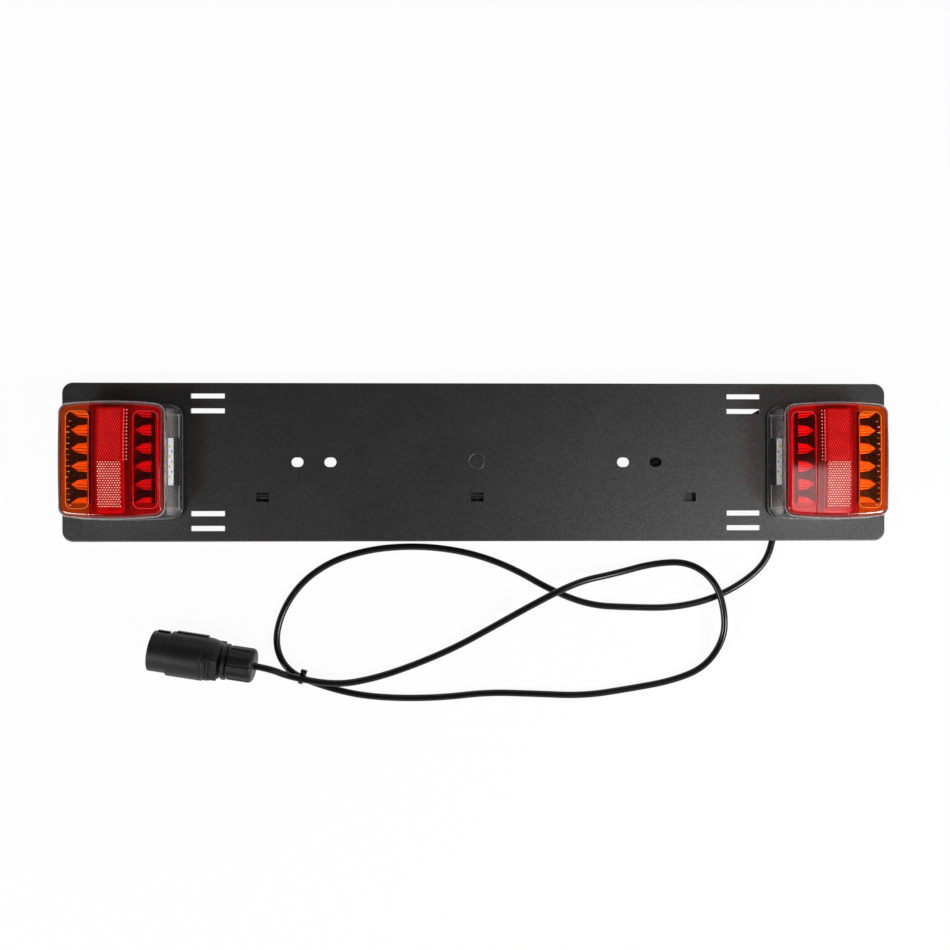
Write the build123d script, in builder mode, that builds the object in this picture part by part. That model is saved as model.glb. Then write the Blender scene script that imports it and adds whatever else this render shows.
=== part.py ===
import os
from math import cos, pi, radians, sin, tan

from build123d import *

# Units are millimetres. The board lies on its back: X runs along it, Z points out of its front.
# The origin is on the surface it lies on, under the middle of the panel.

# Board panel
board_length = 780
board_height = 150
board_depth = 16
panel_thickness = 3
rim_thickness = 2.5
board_corner_radius = 10
face_edge_radius = 1.2
face_z = board_depth
back_z = board_depth - panel_thickness

strap_slot_length = 32
strap_slot_width = 4.8
strap_slot_corner_radius = 0.5
strap_slot_end_gap = 136.2
strap_slot_x = board_length / 2 - strap_slot_end_gap
strap_slot_outer_y = 62.5
strap_slot_inner_y = 48.5

oval_length = 11.6
oval_width = 9.1
oval_outer_x = 169.8
oval_inner_x = 138.8

window_width = 12
window_height = 8.5
window_corner_radius = 0.8
window_x = 202.4
window_y = -33.2

hook_width = 17
hook_wall = 2.3
hook_finger_length = 12.6
hook_finger_thickness = 2.2
hook_lip_height = 1
hook_lip_width = 1.2

end_rib_inset = 20
rib_thickness = 1.8
end_rib_height = 8
long_rib_height = 4
long_rib_length = 380
long_rib_upper_y = 42
long_rib_lower_y = -55

gate_recess_diameter = 16
gate_recess_depth = 0.6
gate_nub_diameter = 5
gate_nub_height = 0.4

# Cables
main_cable_diameter = 6.5
lead_diameter = 5
lead_gap = 0.4
outlet_width = 10
outlet_height = 9
outlet_end_gap = 104.5
outlet_x = board_length / 2 - outlet_end_gap
board_front_y = -board_height / 2

# Lamp outline: the lens is the coloured front, the skirt is the foot of the clear cover
lamp_end_gap = 9.5
lens_outer_x = board_length / 2 - lamp_end_gap
lens_width = 95.4
lens_half_mid = 53.5
lens_half_end = 50.5
lens_corner_radius = 9
skirt_overhang_outer = 2.5
skirt_overhang_inner = 9.1
skirt_half_mid = 54.5
skirt_half_end = 52.5
skirt_corner_radius = 11
lens_inner_x = lens_outer_x - lens_width
lens_centre_x = lens_outer_x - lens_width / 2
skirt_inner_x = lens_inner_x - skirt_overhang_inner
skirt_outer_x = lens_outer_x + skirt_overhang_outer

# Lamp heights
gasket_thickness = 1.5
base_floor = 3
cover_height = 24.5
lens_rise = 11
cover_wall = 2.2
lens_wall = 2.2
dome_radius = 500
lens_shoulder_radius = 5
base_bottom_z = face_z + gasket_thickness
base_top_z = base_bottom_z + base_floor
cover_top_z = base_top_z + cover_height
crown_z = cover_top_z + lens_rise

# Lamp base
upstand_height = 1.2
upstand_wall = 2
inner_gap = 0.3
post_radius = 3
shelf_height = 3.5
shelf_width = 8.4

# Lens front, measured from the outer edge of the lens
colour_split = 29.5
window_margin = 8.6
amber_window_end = 28.6
red_window_start = 69.6
red_window_end = 90.4
led_window_half = 43.5
led_window_corner_radius = 5
led_window_recess = 0.8
band_rise = 1.2
band_start = 30.3
band_end = 68.3
reflex_start = 36.8
reflex_end = 59.8
reflex_half = 47
reflex_corner_radius = 2.5
reflex_gap = 0.1
reflex_flange = 1.5
reflex_flange_thickness = 1.2
reflex_proud = 0.4
reflex_border = 1
reflex_field_depth = 0.35
reflex_divide_y = -1.4
reflex_foot_y = -43

# Circuit board and reflector
circuit_thickness = 1.6
circuit_lift = 7.9
circuit_inner_inset = 7.4
circuit_outer_inset = 5
circuit_half = 46.5
circuit_corner_radius = 6
reflector_height = 18
reflector_plate = 1.6
reflector_gap = 0.6
apron_lift = 1.5
apron_thickness = 1.5
apron_notch_half = 22.3
apron_notch_height = 5
cup_count = 5
cup_pitch = 16.5
cup_rows_shift = 2.4
amber_cups_shift = 2.05
red_cups_shift = 5.8
cup_half_length = 9.8
cup_half_narrow = 4.2
cup_half_wide = 8
cup_throat = 0.45
cup_wall = 1.1
cup_focus = 2
cup_break = 4.5
led_radius = 2.3
led_body_height = 2.2
circuit_bottom_z = base_top_z + circuit_lift
circuit_top_z = circuit_bottom_z + circuit_thickness
reflector_top_z = circuit_top_z + reflector_height
amber_column_x = lens_outer_x - (window_margin + amber_window_end) / 2 + amber_cups_shift
red_column_x = lens_outer_x - (red_window_start + red_window_end) / 2 + red_cups_shift

# Number-plate light
strip_length = 44
strip_width = 4.9
strip_thickness = 1.2
strip_inset = 8.45
strip_wall_gap = 0.15
plate_led_count = 4
plate_led_pitch = 9.5
plate_led_offset = 1.2
plate_led_size = 2.4
plate_led_height = 0.9
strip_x = skirt_inner_x + strip_inset + strip_width / 2

# Lamp fixings
bolt_end_gap = 74
bolt_x = board_length / 2 - bolt_end_gap
bolt_y = 32
bolt_diameter = 6
bolt_hole_diameter = 6.6
bolt_head_flats = 10
bolt_head_height = 4
bolt_length = 17.5
washer_diameter = 12
washer_thickness = 1.6
nut_flats = 10
nut_thickness = 5

# Cable boots
cable_hole_end_gap = 44
cable_hole_x = board_length / 2 - cable_hole_end_gap
cable_hole_y = 10
cable_hole_diameter = 12.2
boot_gap = 0.3
boot_flange_diameter = 16
boot_flange_thickness = 1.5
boot_axis_drop = 6.4
boot_reach = 14
boot_mouth_diameter = 9
boot_bore_depth = 5
boot_bore_gap = 0.15
boot_axis_z = back_z - boot_axis_drop
blank_plug_depth = 5

# Splice in the lead between the lamps
splice_diameter = 10
splice_length = 42
splice_heading = 200
splice_end_radius = 2.5

# Lead between the lamps: bends measured in from the cable holes, from a boot, the splice or a window
right_lead_run = 29
right_lead_rise = (36, 44)
right_lead_crest = (62, 45.5)
right_lead_fall = (84, 33)
splice_run_in = 38
splice_run_out = 48
left_lead_run = 46
left_lead_step = 52
left_lead_drop = 47.6
left_lead_low_z = 9
left_lead_sway = 1.4

# Plug: lengths run back from the mouth along the plug's axis
plug_reach = 589.8
plug_drop = 101.6
plug_mouth = (outlet_x - plug_reach, board_front_y - plug_drop)
plug_heading = -9
plug_barrel_radius = 19
plug_barrel_length = 17
plug_body_radius = 21
plug_body_end = 50
plug_step = 0.8
plug_shoulder_start = 51
plug_shoulder_end = 65
plug_shoulder_radius = 16.2
plug_neck_radius = 14
plug_neck_end = 86
plug_ring_start = 68
plug_ring_length = 3
plug_ring_radius = 17
plug_bore_radius = 16.6
plug_bore_depth = 30
plug_wire_radius = 11
plug_key_width = 5
plug_key_height = 1.2
plug_key_start = 3
plug_key_length = 11
plug_ridge_width = 7
plug_ridge_height = 0.9
plug_ridge_start = 21
key_roll = -90
spigot_gap = 0.15
grip_roll = 22
grip_width = 23
grip_start = 53
grip_length = 12
grip_flat_radius = 18.6
grip_ridge_count = 2
grip_ridge_pitch = 3.4
grip_ridge_length = 1.3
grip_ridge_radius = 20.8
nut_start = 73.5
nut_length = 23
gland_nut_radius = 16.2
gland_thread_gap = 0.3
gland_end_wall = 5
gland_flute_count = 12
gland_flute_radius = 1.7
gland_flute_depth = 1
gland_end_radius = 4
cable_pass_gap = 0.25
seal_clearance = 0.2
insert_front = 12
insert_gap = 0.2
contact_count = 6
contact_circle_radius = 10
contact_radius = 2.3
contact_front = 6
contact_gap = 0.05
plug_axis_z = plug_body_radius

# Cable tie
tie_reach = 452.5
tie_drop = 130.5
tie_place = (outlet_x - tie_reach, board_front_y - tie_drop)
tie_heading = -16.4
tie_strap_width = 3.6
tie_strap_thickness = 1.2
tie_gap = 0.3
tie_strand_gap = 0.3
tie_head_side = 5.5
tie_head_height = 6.5
tie_head_depth = 4.6
tie_tail_length = 5
floor_z = main_cable_diameter / 2
tied_low_z = tie_strap_thickness + tie_gap + main_cable_diameter / 2
tied_high_z = tied_low_z + main_cable_diameter + tie_strand_gap
crossing_z = floor_z + 2 * main_cable_diameter

os.makedirs("parts", exist_ok=True)


def save(part, name):
    """Label one finished piece and write it to its own file."""
    part.label = name
    export_step(part, f"parts/{name}.step")


def save_pair(part, name):
    """Write a piece of the right lamp and its mirror twin of the left lamp."""
    save(part, f"right_{name}")
    save(mirror(part, about=Plane.YZ), f"left_{name}")


# Lamp outlines


def arched_outline(inner_x, outer_x, half_mid, half_end, corner_radius):
    """A rounded rectangle whose top and bottom edges bow outwards."""
    middle_x = (inner_x + outer_x) / 2
    with BuildSketch() as outline:
        with BuildLine():
            Line((inner_x, -half_end), (inner_x, half_end))
            ThreePointArc((inner_x, half_end), (middle_x, half_mid), (outer_x, half_end))
            Line((outer_x, half_end), (outer_x, -half_end))
            ThreePointArc((outer_x, -half_end), (middle_x, -half_mid), (inner_x, -half_end))
        make_face()
        fillet(outline.vertices(), corner_radius)
    return outline.sketch


def lens_outline(inset):
    """Outline of the coloured lens, moved in by inset."""
    return arched_outline(
        lens_inner_x + inset,
        lens_outer_x - inset,
        lens_half_mid - inset,
        lens_half_end - inset,
        lens_corner_radius - inset,
    )


def cover_outline(z, inset):
    """Outline of the clear cover at height z, moved in by inset."""
    share = (z - base_top_z) / cover_height
    return arched_outline(
        skirt_inner_x + skirt_overhang_inner * share + inset,
        skirt_outer_x - skirt_overhang_outer * share - inset,
        skirt_half_mid + (lens_half_mid - skirt_half_mid) * share - inset,
        skirt_half_end + (lens_half_end - skirt_half_end) * share - inset,
        skirt_corner_radius + (lens_corner_radius - skirt_corner_radius) * share - inset,
    )


def cover_ring(bottom_z, top_z, inset, wall):
    """A tapered wall that follows the clear cover between two heights."""
    with BuildPart() as ring:
        for z in (bottom_z, top_z):
            with BuildSketch(Plane.XY.offset(z)):
                add(cover_outline(z, inset))
        loft(ruled=True)
        for z in (bottom_z, top_z):
            with BuildSketch(Plane.XY.offset(z)):
                add(cover_outline(z, inset + wall))
        loft(ruled=True, mode=Mode.SUBTRACT)
    return ring.part


def domed_block(sketch, bottom_z, depth):
    """A block over a sketch whose top lies depth below the lens's outer dome."""
    with BuildPart() as block:
        with BuildSketch(Plane.XY.offset(bottom_z)):
            add(sketch)
        extrude(amount=2 * lens_rise)
        with Locations((lens_centre_x, 0, crown_z - dome_radius)):
            Sphere(dome_radius - depth, mode=Mode.INTERSECT)
    return block.part


def dome_pocket(sketch, depth):
    """Everything over a sketch that lies above the dome depth below the lens's outer one."""
    with BuildPart() as pocket:
        with BuildSketch(Plane.XY.offset(cover_top_z)):
            add(sketch)
        extrude(amount=2 * lens_rise)
        add(domed_block(lens_outline(0), cover_top_z, depth), mode=Mode.SUBTRACT)
    return pocket.part


def lens_field(start, end, half_height, corner_radius):
    """A rounded field of the lens front between two distances from its outer edge."""
    with BuildSketch() as field:
        with Locations((lens_outer_x - (start + end) / 2, 0)):
            RectangleRounded(end - start, 2 * half_height, corner_radius)
    return field.sketch


def cup_mouth(scale):
    """Corners of a cup's mouth about its centre, scaled about its LED."""
    mouth = [
        (-cup_half_length, -cup_half_narrow),
        (-cup_half_length, cup_half_narrow),
        (cup_break, cup_half_wide),
        (cup_half_length, cup_half_wide),
        (cup_half_length, -cup_half_wide),
        (cup_break, -cup_half_wide),
    ]
    return [(cup_focus + scale * (x - cup_focus), scale * y) for x, y in mouth]


# Board panel
slot_places = [
    (side_x * strap_slot_x, side_y * slot_y)
    for side_x in (-1, 1)
    for side_y in (-1, 1)
    for slot_y in (strap_slot_inner_y, strap_slot_outer_y)
]
oval_places = [(side * x, 0) for side in (-1, 1) for x in (oval_inner_x, oval_outer_x)]
window_places = [(x, window_y) for x in (-window_x, 0, window_x)]
bolt_places = [(side * bolt_x, y) for side in (-1, 1) for y in (-bolt_y, bolt_y)]
cable_places = [(side * cable_hole_x, y) for side in (-1, 1) for y in (-cable_hole_y, cable_hole_y)]

# Cable hook seen from the end of the board: wall below the window's edge, finger and lip
hook_z = back_z - lead_gap - lead_diameter - lead_gap
hook_edge_y = window_y - window_height / 2
hook_back_y = hook_edge_y - hook_wall
hook_tip_y = hook_back_y + hook_finger_length
with BuildSketch() as hook_profile:
    with BuildLine():
        Polyline(
            (hook_edge_y, back_z),
            (hook_back_y, back_z),
            (hook_back_y, hook_z - hook_finger_thickness),
            (hook_tip_y, hook_z - hook_finger_thickness),
            (hook_tip_y, hook_z + hook_lip_height),
            (hook_tip_y - hook_lip_width, hook_z + hook_lip_height),
            (hook_tip_y - hook_lip_width, hook_z),
            (hook_edge_y, hook_z),
            close=True,
        )
    make_face()

with BuildPart() as board_panel:
    with BuildSketch():
        RectangleRounded(board_length, board_height, board_corner_radius)
    extrude(amount=board_depth)
    fillet(board_panel.faces().sort_by(Axis.Z)[-1].edges(), face_edge_radius)
    with BuildSketch():
        RectangleRounded(
            board_length - 2 * rim_thickness,
            board_height - 2 * rim_thickness,
            board_corner_radius - rim_thickness,
        )
    extrude(amount=back_z, mode=Mode.SUBTRACT)
    with BuildSketch(Plane.XY.offset(back_z)):
        with Locations((board_length / 2 - end_rib_inset, 0), (end_rib_inset - board_length / 2, 0)):
            Rectangle(rib_thickness, board_height - 2 * rim_thickness)
    extrude(amount=-end_rib_height)
    with BuildSketch(Plane.XY.offset(back_z)):
        with Locations((0, long_rib_upper_y), (0, long_rib_lower_y)):
            Rectangle(long_rib_length, rib_thickness)
    extrude(amount=-long_rib_height)
    for x, _ in window_places:
        with BuildSketch(Plane.YZ.offset(x)):
            add(hook_profile.sketch)
        extrude(amount=hook_width / 2, both=True)
    with BuildSketch(Plane.XY.offset(face_z)):
        with Locations(*slot_places):
            RectangleRounded(strap_slot_length, strap_slot_width, strap_slot_corner_radius)
        with Locations(*oval_places):
            SlotOverall(oval_length, oval_width)
        with Locations(*window_places):
            RectangleRounded(window_width, window_height, window_corner_radius)
        with Locations(*bolt_places):
            Circle(bolt_hole_diameter / 2)
        with Locations(*cable_places):
            Circle(cable_hole_diameter / 2)
    extrude(amount=-panel_thickness, mode=Mode.SUBTRACT)
    with BuildSketch(Plane.XZ.offset(board_height / 2)):
        with Locations((outlet_x, 0)):
            SlotCenterToCenter(2 * (outlet_height - outlet_width / 2), outlet_width, rotation=90)
    extrude(amount=-rim_thickness, mode=Mode.SUBTRACT)
    with BuildSketch(Plane.XY.offset(face_z)):
        Circle(gate_recess_diameter / 2)
    extrude(amount=-gate_recess_depth, mode=Mode.SUBTRACT)
    with BuildSketch(Plane.XY.offset(face_z - gate_recess_depth)):
        Circle(gate_nub_diameter / 2)
    extrude(amount=gate_nub_height, taper=20)
save(board_panel.part, "board_panel")

# Gasket between the panel and a lamp
lamp_bolt_places = [(bolt_x, -bolt_y), (bolt_x, bolt_y)]
lamp_cable_places = [(cable_hole_x, -cable_hole_y), (cable_hole_x, cable_hole_y)]
with BuildPart() as lamp_gasket:
    with BuildSketch(Plane.XY.offset(face_z)):
        add(cover_outline(base_top_z, upstand_wall))
        with Locations(*lamp_bolt_places):
            Circle(bolt_hole_diameter / 2, mode=Mode.SUBTRACT)
        with Locations(*lamp_cable_places):
            Circle(cable_hole_diameter / 2, mode=Mode.SUBTRACT)
    extrude(amount=gasket_thickness)
save_pair(lamp_gasket.part, "lamp_gasket")

# Lamp base: floor, upstand inside the cover, posts for the circuit board, shelf for the plate light
circuit_inner_x = lens_inner_x + circuit_inner_inset
circuit_outer_x = lens_outer_x - circuit_outer_inset
circuit_length = circuit_outer_x - circuit_inner_x
circuit_centre_x = (circuit_inner_x + circuit_outer_x) / 2
post_spread_x = circuit_length - 2 * circuit_corner_radius
post_spread_y = 2 * (circuit_half - circuit_corner_radius)
shelf_top_z = base_top_z + shelf_height
with BuildPart() as lamp_base:
    with BuildSketch(Plane.XY.offset(base_bottom_z)):
        add(cover_outline(base_top_z, 0))
    extrude(amount=base_floor)
    add(cover_ring(base_top_z, base_top_z + upstand_height, cover_wall + inner_gap, upstand_wall))
    with BuildSketch(Plane.XY.offset(base_top_z)):
        with Locations((circuit_centre_x, 0)):
            with GridLocations(post_spread_x, post_spread_y, 2, 2):
                Circle(post_radius)
    extrude(amount=circuit_lift)
    with BuildSketch(Plane.XY.offset(base_top_z)):
        with Locations((strip_x, 0)):
            Rectangle(shelf_width, strip_length)
    extrude(amount=shelf_height)
    with BuildSketch(Plane.XY.offset(base_bottom_z)):
        with Locations(*lamp_bolt_places):
            Circle(bolt_hole_diameter / 2)
        with Locations(*lamp_cable_places):
            Circle(cable_hole_diameter / 2)
    extrude(amount=base_floor, mode=Mode.SUBTRACT)
save_pair(lamp_base.part, "lamp_base")

# Clear cover with the slanted number-plate window on its inner side
clear_cover = cover_ring(base_top_z, cover_top_z, 0, cover_wall)
save_pair(clear_cover, "lamp_clear_cover")

# Coloured lens front: one domed cap, parted into red and amber mouldings
reflex_field = lens_field(reflex_start, reflex_end, reflex_half, reflex_corner_radius)
with BuildPart() as band_cap:
    add(domed_block(lens_outline(0), cover_top_z, -band_rise))
    fillet(band_cap.faces().sort_by(Axis.Z)[-1].edges(), lens_shoulder_radius)
    with BuildSketch(Plane.XY.offset(cover_top_z)):
        with Locations((lens_outer_x - (band_start + band_end) / 2, 0)):
            Rectangle(band_end - band_start, 2 * skirt_half_mid)
    extrude(amount=2 * lens_rise, mode=Mode.INTERSECT)
raised_band = band_cap.part
with BuildPart() as lens_cap:
    add(domed_block(lens_outline(0), cover_top_z, 0))
    cap_rim = lens_cap.faces().sort_by(Axis.Z)[-1].edges()
    fillet(cap_rim, lens_shoulder_radius)
    add(raised_band)
    add(domed_block(lens_outline(lens_wall), cover_top_z, lens_wall), mode=Mode.SUBTRACT)
    led_windows = [
        lens_field(window_margin, amber_window_end, led_window_half, led_window_corner_radius),
        lens_field(red_window_start, red_window_end, led_window_half, led_window_corner_radius),
    ]
    for led_window in led_windows:
        add(dome_pocket(led_window, led_window_recess), mode=Mode.SUBTRACT)
    with BuildSketch(Plane.XY.offset(cover_top_z)):
        add(reflex_field)
    extrude(amount=2 * lens_rise, mode=Mode.SUBTRACT)

split_plane = Plane.YZ.offset(lens_outer_x - colour_split)
with BuildPart() as red_lens:
    add(lens_cap.part)
    split(bisect_by=split_plane, keep=Keep.BOTTOM)
save_pair(red_lens.part, "lamp_red_lens")
with BuildPart() as amber_lens:
    add(lens_cap.part)
    split(bisect_by=split_plane, keep=Keep.TOP)
save_pair(amber_lens.part, "lamp_amber_lens")

# Reflex reflector: fills the opening in the raised band, with a flange behind the lens wall
field_width = reflex_end - reflex_start - 2 * (reflex_gap + reflex_border)
field_x = lens_outer_x - (reflex_start + reflex_end) / 2
upper_top_y = reflex_half - reflex_border
upper_foot_y = reflex_divide_y + reflex_border / 2
lower_top_y = reflex_divide_y - reflex_border / 2
with BuildSketch() as prism_fields:
    for top_y, foot_y in ((upper_top_y, upper_foot_y), (lower_top_y, reflex_foot_y)):
        with Locations((field_x, (top_y + foot_y) / 2)):
            Rectangle(field_width, top_y - foot_y)
with BuildPart() as reflex_reflector:
    plate_field = lens_field(
        reflex_start + reflex_gap,
        reflex_end - reflex_gap,
        reflex_half - reflex_gap,
        reflex_corner_radius - reflex_gap,
    )
    flange_field = lens_field(
        reflex_start - reflex_flange,
        reflex_end + reflex_flange,
        reflex_half + reflex_flange,
        reflex_corner_radius + reflex_flange,
    )
    add(domed_block(flange_field, cover_top_z, lens_wall + reflex_gap))
    add(domed_block(plate_field, cover_top_z, -band_rise - reflex_proud))
    add(
        domed_block(lens_outline(0), cover_top_z, lens_wall + reflex_gap + reflex_flange_thickness),
        mode=Mode.SUBTRACT,
    )
    field_floor = reflex_field_depth - band_rise - reflex_proud
    add(dome_pocket(prism_fields.sketch, field_floor), mode=Mode.SUBTRACT)
save_pair(reflex_reflector.part, "lamp_reflex_reflector")

# Circuit board behind the reflector
with BuildPart() as circuit_board:
    with BuildSketch(Plane.XY.offset(circuit_bottom_z)):
        with Locations((circuit_centre_x, 0)):
            RectangleRounded(circuit_length, 2 * circuit_half, circuit_corner_radius)
    extrude(amount=circuit_thickness)
save_pair(circuit_board.part, "lamp_circuit_board")

# Metallised reflector: a plate with two columns of faceted cups, each tapering to its LED, and a wall
# down to a low apron that frames the number-plate light
cup_rows = [(row - (cup_count - 1) / 2) * cup_pitch + cup_rows_shift for row in range(cup_count)]
cup_places = [(x, y) for x in (amber_column_x, red_column_x) for y in cup_rows]
wall_share = cup_wall / cup_half_wide
apron_z = base_top_z + apron_lift
wall_x = strip_x + strip_width / 2 + strip_wall_gap + apron_thickness / 2
apron_reach = wall_x + apron_thickness / 2 - skirt_inner_x
with BuildPart() as reflector:
    with BuildSketch(Plane.XY.offset(reflector_top_z - reflector_plate)):
        add(lens_outline(lens_wall + reflector_gap))
    extrude(amount=reflector_plate)
    with BuildSketch(Plane.XY.offset(apron_z)):
        with Locations((wall_x, 0)):
            Rectangle(apron_thickness, 2 * (circuit_half - lens_corner_radius))
    extrude(amount=reflector_top_z - apron_z)
    with BuildSketch(Plane.XY.offset(apron_z)):
        add(cover_outline(apron_z + apron_thickness, cover_wall + inner_gap))
        with Locations((skirt_inner_x + apron_reach / 2, 0)):
            Rectangle(apron_reach, 2 * skirt_half_mid, mode=Mode.INTERSECT)
    extrude(amount=apron_thickness)
    with BuildSketch(Plane.XY.offset(apron_z)):
        with Locations((skirt_inner_x + apron_reach / 2, 0)):
            Rectangle(apron_reach, 2 * apron_notch_half)
    extrude(amount=apron_notch_height, mode=Mode.SUBTRACT)
    for scale, mode in ((1 + wall_share, Mode.ADD), (1, Mode.SUBTRACT)):
        for cup_x, cup_y in cup_places:
            throat_scale = scale - 1 + cup_throat
            for z, share in ((circuit_top_z, throat_scale), (reflector_top_z, scale)):
                with BuildSketch(Plane.XY.offset(z)):
                    with Locations((cup_x, cup_y)):
                        Polygon(*cup_mouth(share), align=None)
            loft(ruled=True, mode=mode)
save_pair(reflector.part, "lamp_reflector")

# LEDs: a short barrel with a domed lens, standing on the circuit board in each cup
for colour, column_x in (("amber", amber_column_x), ("red", red_column_x)):
    with BuildPart() as leds:
        for cup_y in cup_rows:
            with BuildSketch(Plane.XY.offset(circuit_top_z)):
                with Locations((column_x + cup_focus, cup_y)):
                    Circle(led_radius)
            extrude(amount=led_body_height)
            with Locations((column_x + cup_focus, cup_y, circuit_top_z + led_body_height)):
                Sphere(led_radius, arc_size1=0)
    save_pair(leds.part, f"lamp_{colour}_leds")

# Number-plate light: a white strip with small LEDs on the shelf of the base
strip_top_z = shelf_top_z + strip_thickness
with BuildPart() as plate_strip:
    with BuildSketch(Plane.XY.offset(shelf_top_z)):
        with Locations((strip_x, 0)):
            Rectangle(strip_width, strip_length)
    extrude(amount=strip_thickness)
save_pair(plate_strip.part, "plate_light_strip")
with BuildPart() as plate_leds:
    with BuildSketch(Plane.XY.offset(strip_top_z)):
        with Locations((strip_x + plate_led_offset, 0)):
            with GridLocations(1, plate_led_pitch, 1, plate_led_count):
                Rectangle(plate_led_size, plate_led_size)
    extrude(amount=plate_led_height)
save_pair(plate_leds.part, "plate_light_leds")

# Bolts with their heads inside the base, washers and nuts behind the panel
with BuildPart() as lamp_bolts:
    with BuildSketch(Plane.XY.offset(base_top_z)):
        with Locations(*lamp_bolt_places):
            RegularPolygon(bolt_head_flats / 2, 6, major_radius=False)
    extrude(amount=bolt_head_height)
    with BuildSketch(Plane.XY.offset(base_top_z)):
        with Locations(*lamp_bolt_places):
            Circle(bolt_diameter / 2)
    extrude(amount=-bolt_length)
save_pair(lamp_bolts.part, "lamp_bolts")
with BuildPart() as lamp_washers:
    with BuildSketch(Plane.XY.offset(back_z)):
        with Locations(*lamp_bolt_places):
            Circle(washer_diameter / 2)
            Circle(bolt_hole_diameter / 2, mode=Mode.SUBTRACT)
    extrude(amount=-washer_thickness)
save_pair(lamp_washers.part, "lamp_washers")
with BuildPart() as lamp_nuts:
    with BuildSketch(Plane.XY.offset(back_z - washer_thickness)):
        with Locations(*lamp_bolt_places):
            RegularPolygon(nut_flats / 2, 6, major_radius=False)
            Circle(bolt_diameter / 2, mode=Mode.SUBTRACT)
    extrude(amount=-nut_thickness)
save_pair(lamp_nuts.part, "lamp_nuts")


# Rubber boots: each passes through base, gasket and panel and turns its cable along the panel
def cable_boot(place, heading, cable_diameter):
    """An elbow boot at a lamp's cable hole, with its mouth facing along heading."""
    stem_radius = cable_hole_diameter / 2 - boot_gap
    outwards = Vector(cos(radians(heading)), sin(radians(heading)), 0)
    elbow = Vector(place[0], place[1], boot_axis_z)
    mouth = Plane(elbow + outwards * boot_reach, x_dir=(0, 0, 1), z_dir=outwards)
    with BuildPart() as boot:
        with BuildSketch(Plane.XY.offset(base_top_z)):
            with Locations(place):
                Circle(boot_flange_diameter / 2)
        extrude(amount=boot_flange_thickness)
        with BuildSketch(Plane.XY.offset(base_top_z)):
            with Locations(place):
                Circle(stem_radius)
        extrude(amount=boot_axis_z - base_top_z)
        with Locations(elbow):
            Sphere(stem_radius)
        with BuildSketch(mouth):
            Circle(boot_mouth_diameter / 2)
        with BuildSketch(mouth.offset(-boot_reach)):
            Circle(stem_radius)
        loft()
        with BuildSketch(mouth):
            Circle(cable_diameter / 2 + boot_bore_gap)
        extrude(amount=-boot_bore_depth, mode=Mode.SUBTRACT)
    return boot.part, mouth.offset(-boot_bore_depth).origin, outwards


upper_hole = (cable_hole_x, cable_hole_y)
lower_hole = (cable_hole_x, -cable_hole_y)
left_hole = (-cable_hole_x, -cable_hole_y)
main_boot_heading = 180
lead_boot_heading = 120
left_boot_heading = -17.5
main_boot, main_start, main_outwards = cable_boot(lower_hole, main_boot_heading, main_cable_diameter)
save(main_boot, "right_main_cable_boot")
lead_boot, lead_start, lead_outwards = cable_boot(upper_hole, lead_boot_heading, lead_diameter)
save(lead_boot, "right_lead_boot")
left_boot, lead_end, left_outwards = cable_boot(left_hole, left_boot_heading, lead_diameter)
save(left_boot, "left_lead_boot")
with BuildPart() as blanking_grommet:
    with BuildSketch(Plane.XY.offset(base_top_z)):
        with Locations((-cable_hole_x, cable_hole_y)):
            Circle(boot_flange_diameter / 2)
    extrude(amount=boot_flange_thickness)
    with BuildSketch(Plane.XY.offset(base_top_z)):
        with Locations((-cable_hole_x, cable_hole_y)):
            Circle(cable_hole_diameter / 2 - boot_gap)
    extrude(amount=back_z - blank_plug_depth - base_top_z)
    chamfer(blanking_grommet.faces().sort_by(Axis.Z)[0].edges(), 1)
save(blanking_grommet.part, "left_blanking_grommet")


def run_radii(points):
    """The largest tangent arc at each corner that leaves a tenth of its shorter run straight."""
    radii = []
    for before, corner, after in zip(points, points[1:], points[2:]):
        run_in = corner - before
        run_out = after - corner
        turn = radians(run_in.get_angle(run_out))
        radii.append(0.45 * min(run_in.length, run_out.length) / tan(turn / 2))
    return radii


def round_cable(points, diameter, name):
    """A cable along straight runs joined by tangent arcs."""
    corners = [Vector(*point) for point in points]
    radii = run_radii(corners)
    first_run = corners[1] - corners[0]
    with BuildPart() as cable:
        with BuildLine() as route:
            FilletPolyline(*corners, radius=radii)
        with BuildSketch(Plane(corners[0], z_dir=first_run)):
            Circle(diameter / 2)
        sweep(path=route.wires()[0])
    length = route.wires()[0].length
    swept = cable.part.volume / (pi * diameter**2 / 4 * length)
    print(f"{name}: length {length:.0f} mm, volume share {swept:.5f}")
    print("radii", " ".join(f"{radius:.0f}" for radius in radii))
    return cable.part


# Lead between the lamps: right boot, splice behind the right-hand oval, hooks, left boot
hook_lead_z = back_z - lead_gap - lead_diameter / 2
splice_z = back_z - lead_gap - splice_diameter / 2
splice_along = Vector(cos(radians(splice_heading)), sin(radians(splice_heading)), 0)
splice_centre = Vector(oval_outer_x, 0, splice_z)
splice_right_end = splice_centre - splice_along * (splice_length / 2)
splice_left_end = splice_centre + splice_along * (splice_length / 2)
with BuildPart() as lead_splice:
    with BuildSketch(Plane(splice_right_end, x_dir=(0, 0, 1), z_dir=splice_along)):
        Circle(splice_diameter / 2)
    extrude(amount=splice_length)
    fillet(lead_splice.edges().filter_by(GeomType.CIRCLE), splice_end_radius)
save(lead_splice.part, "lead_splice_sleeve")

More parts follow.
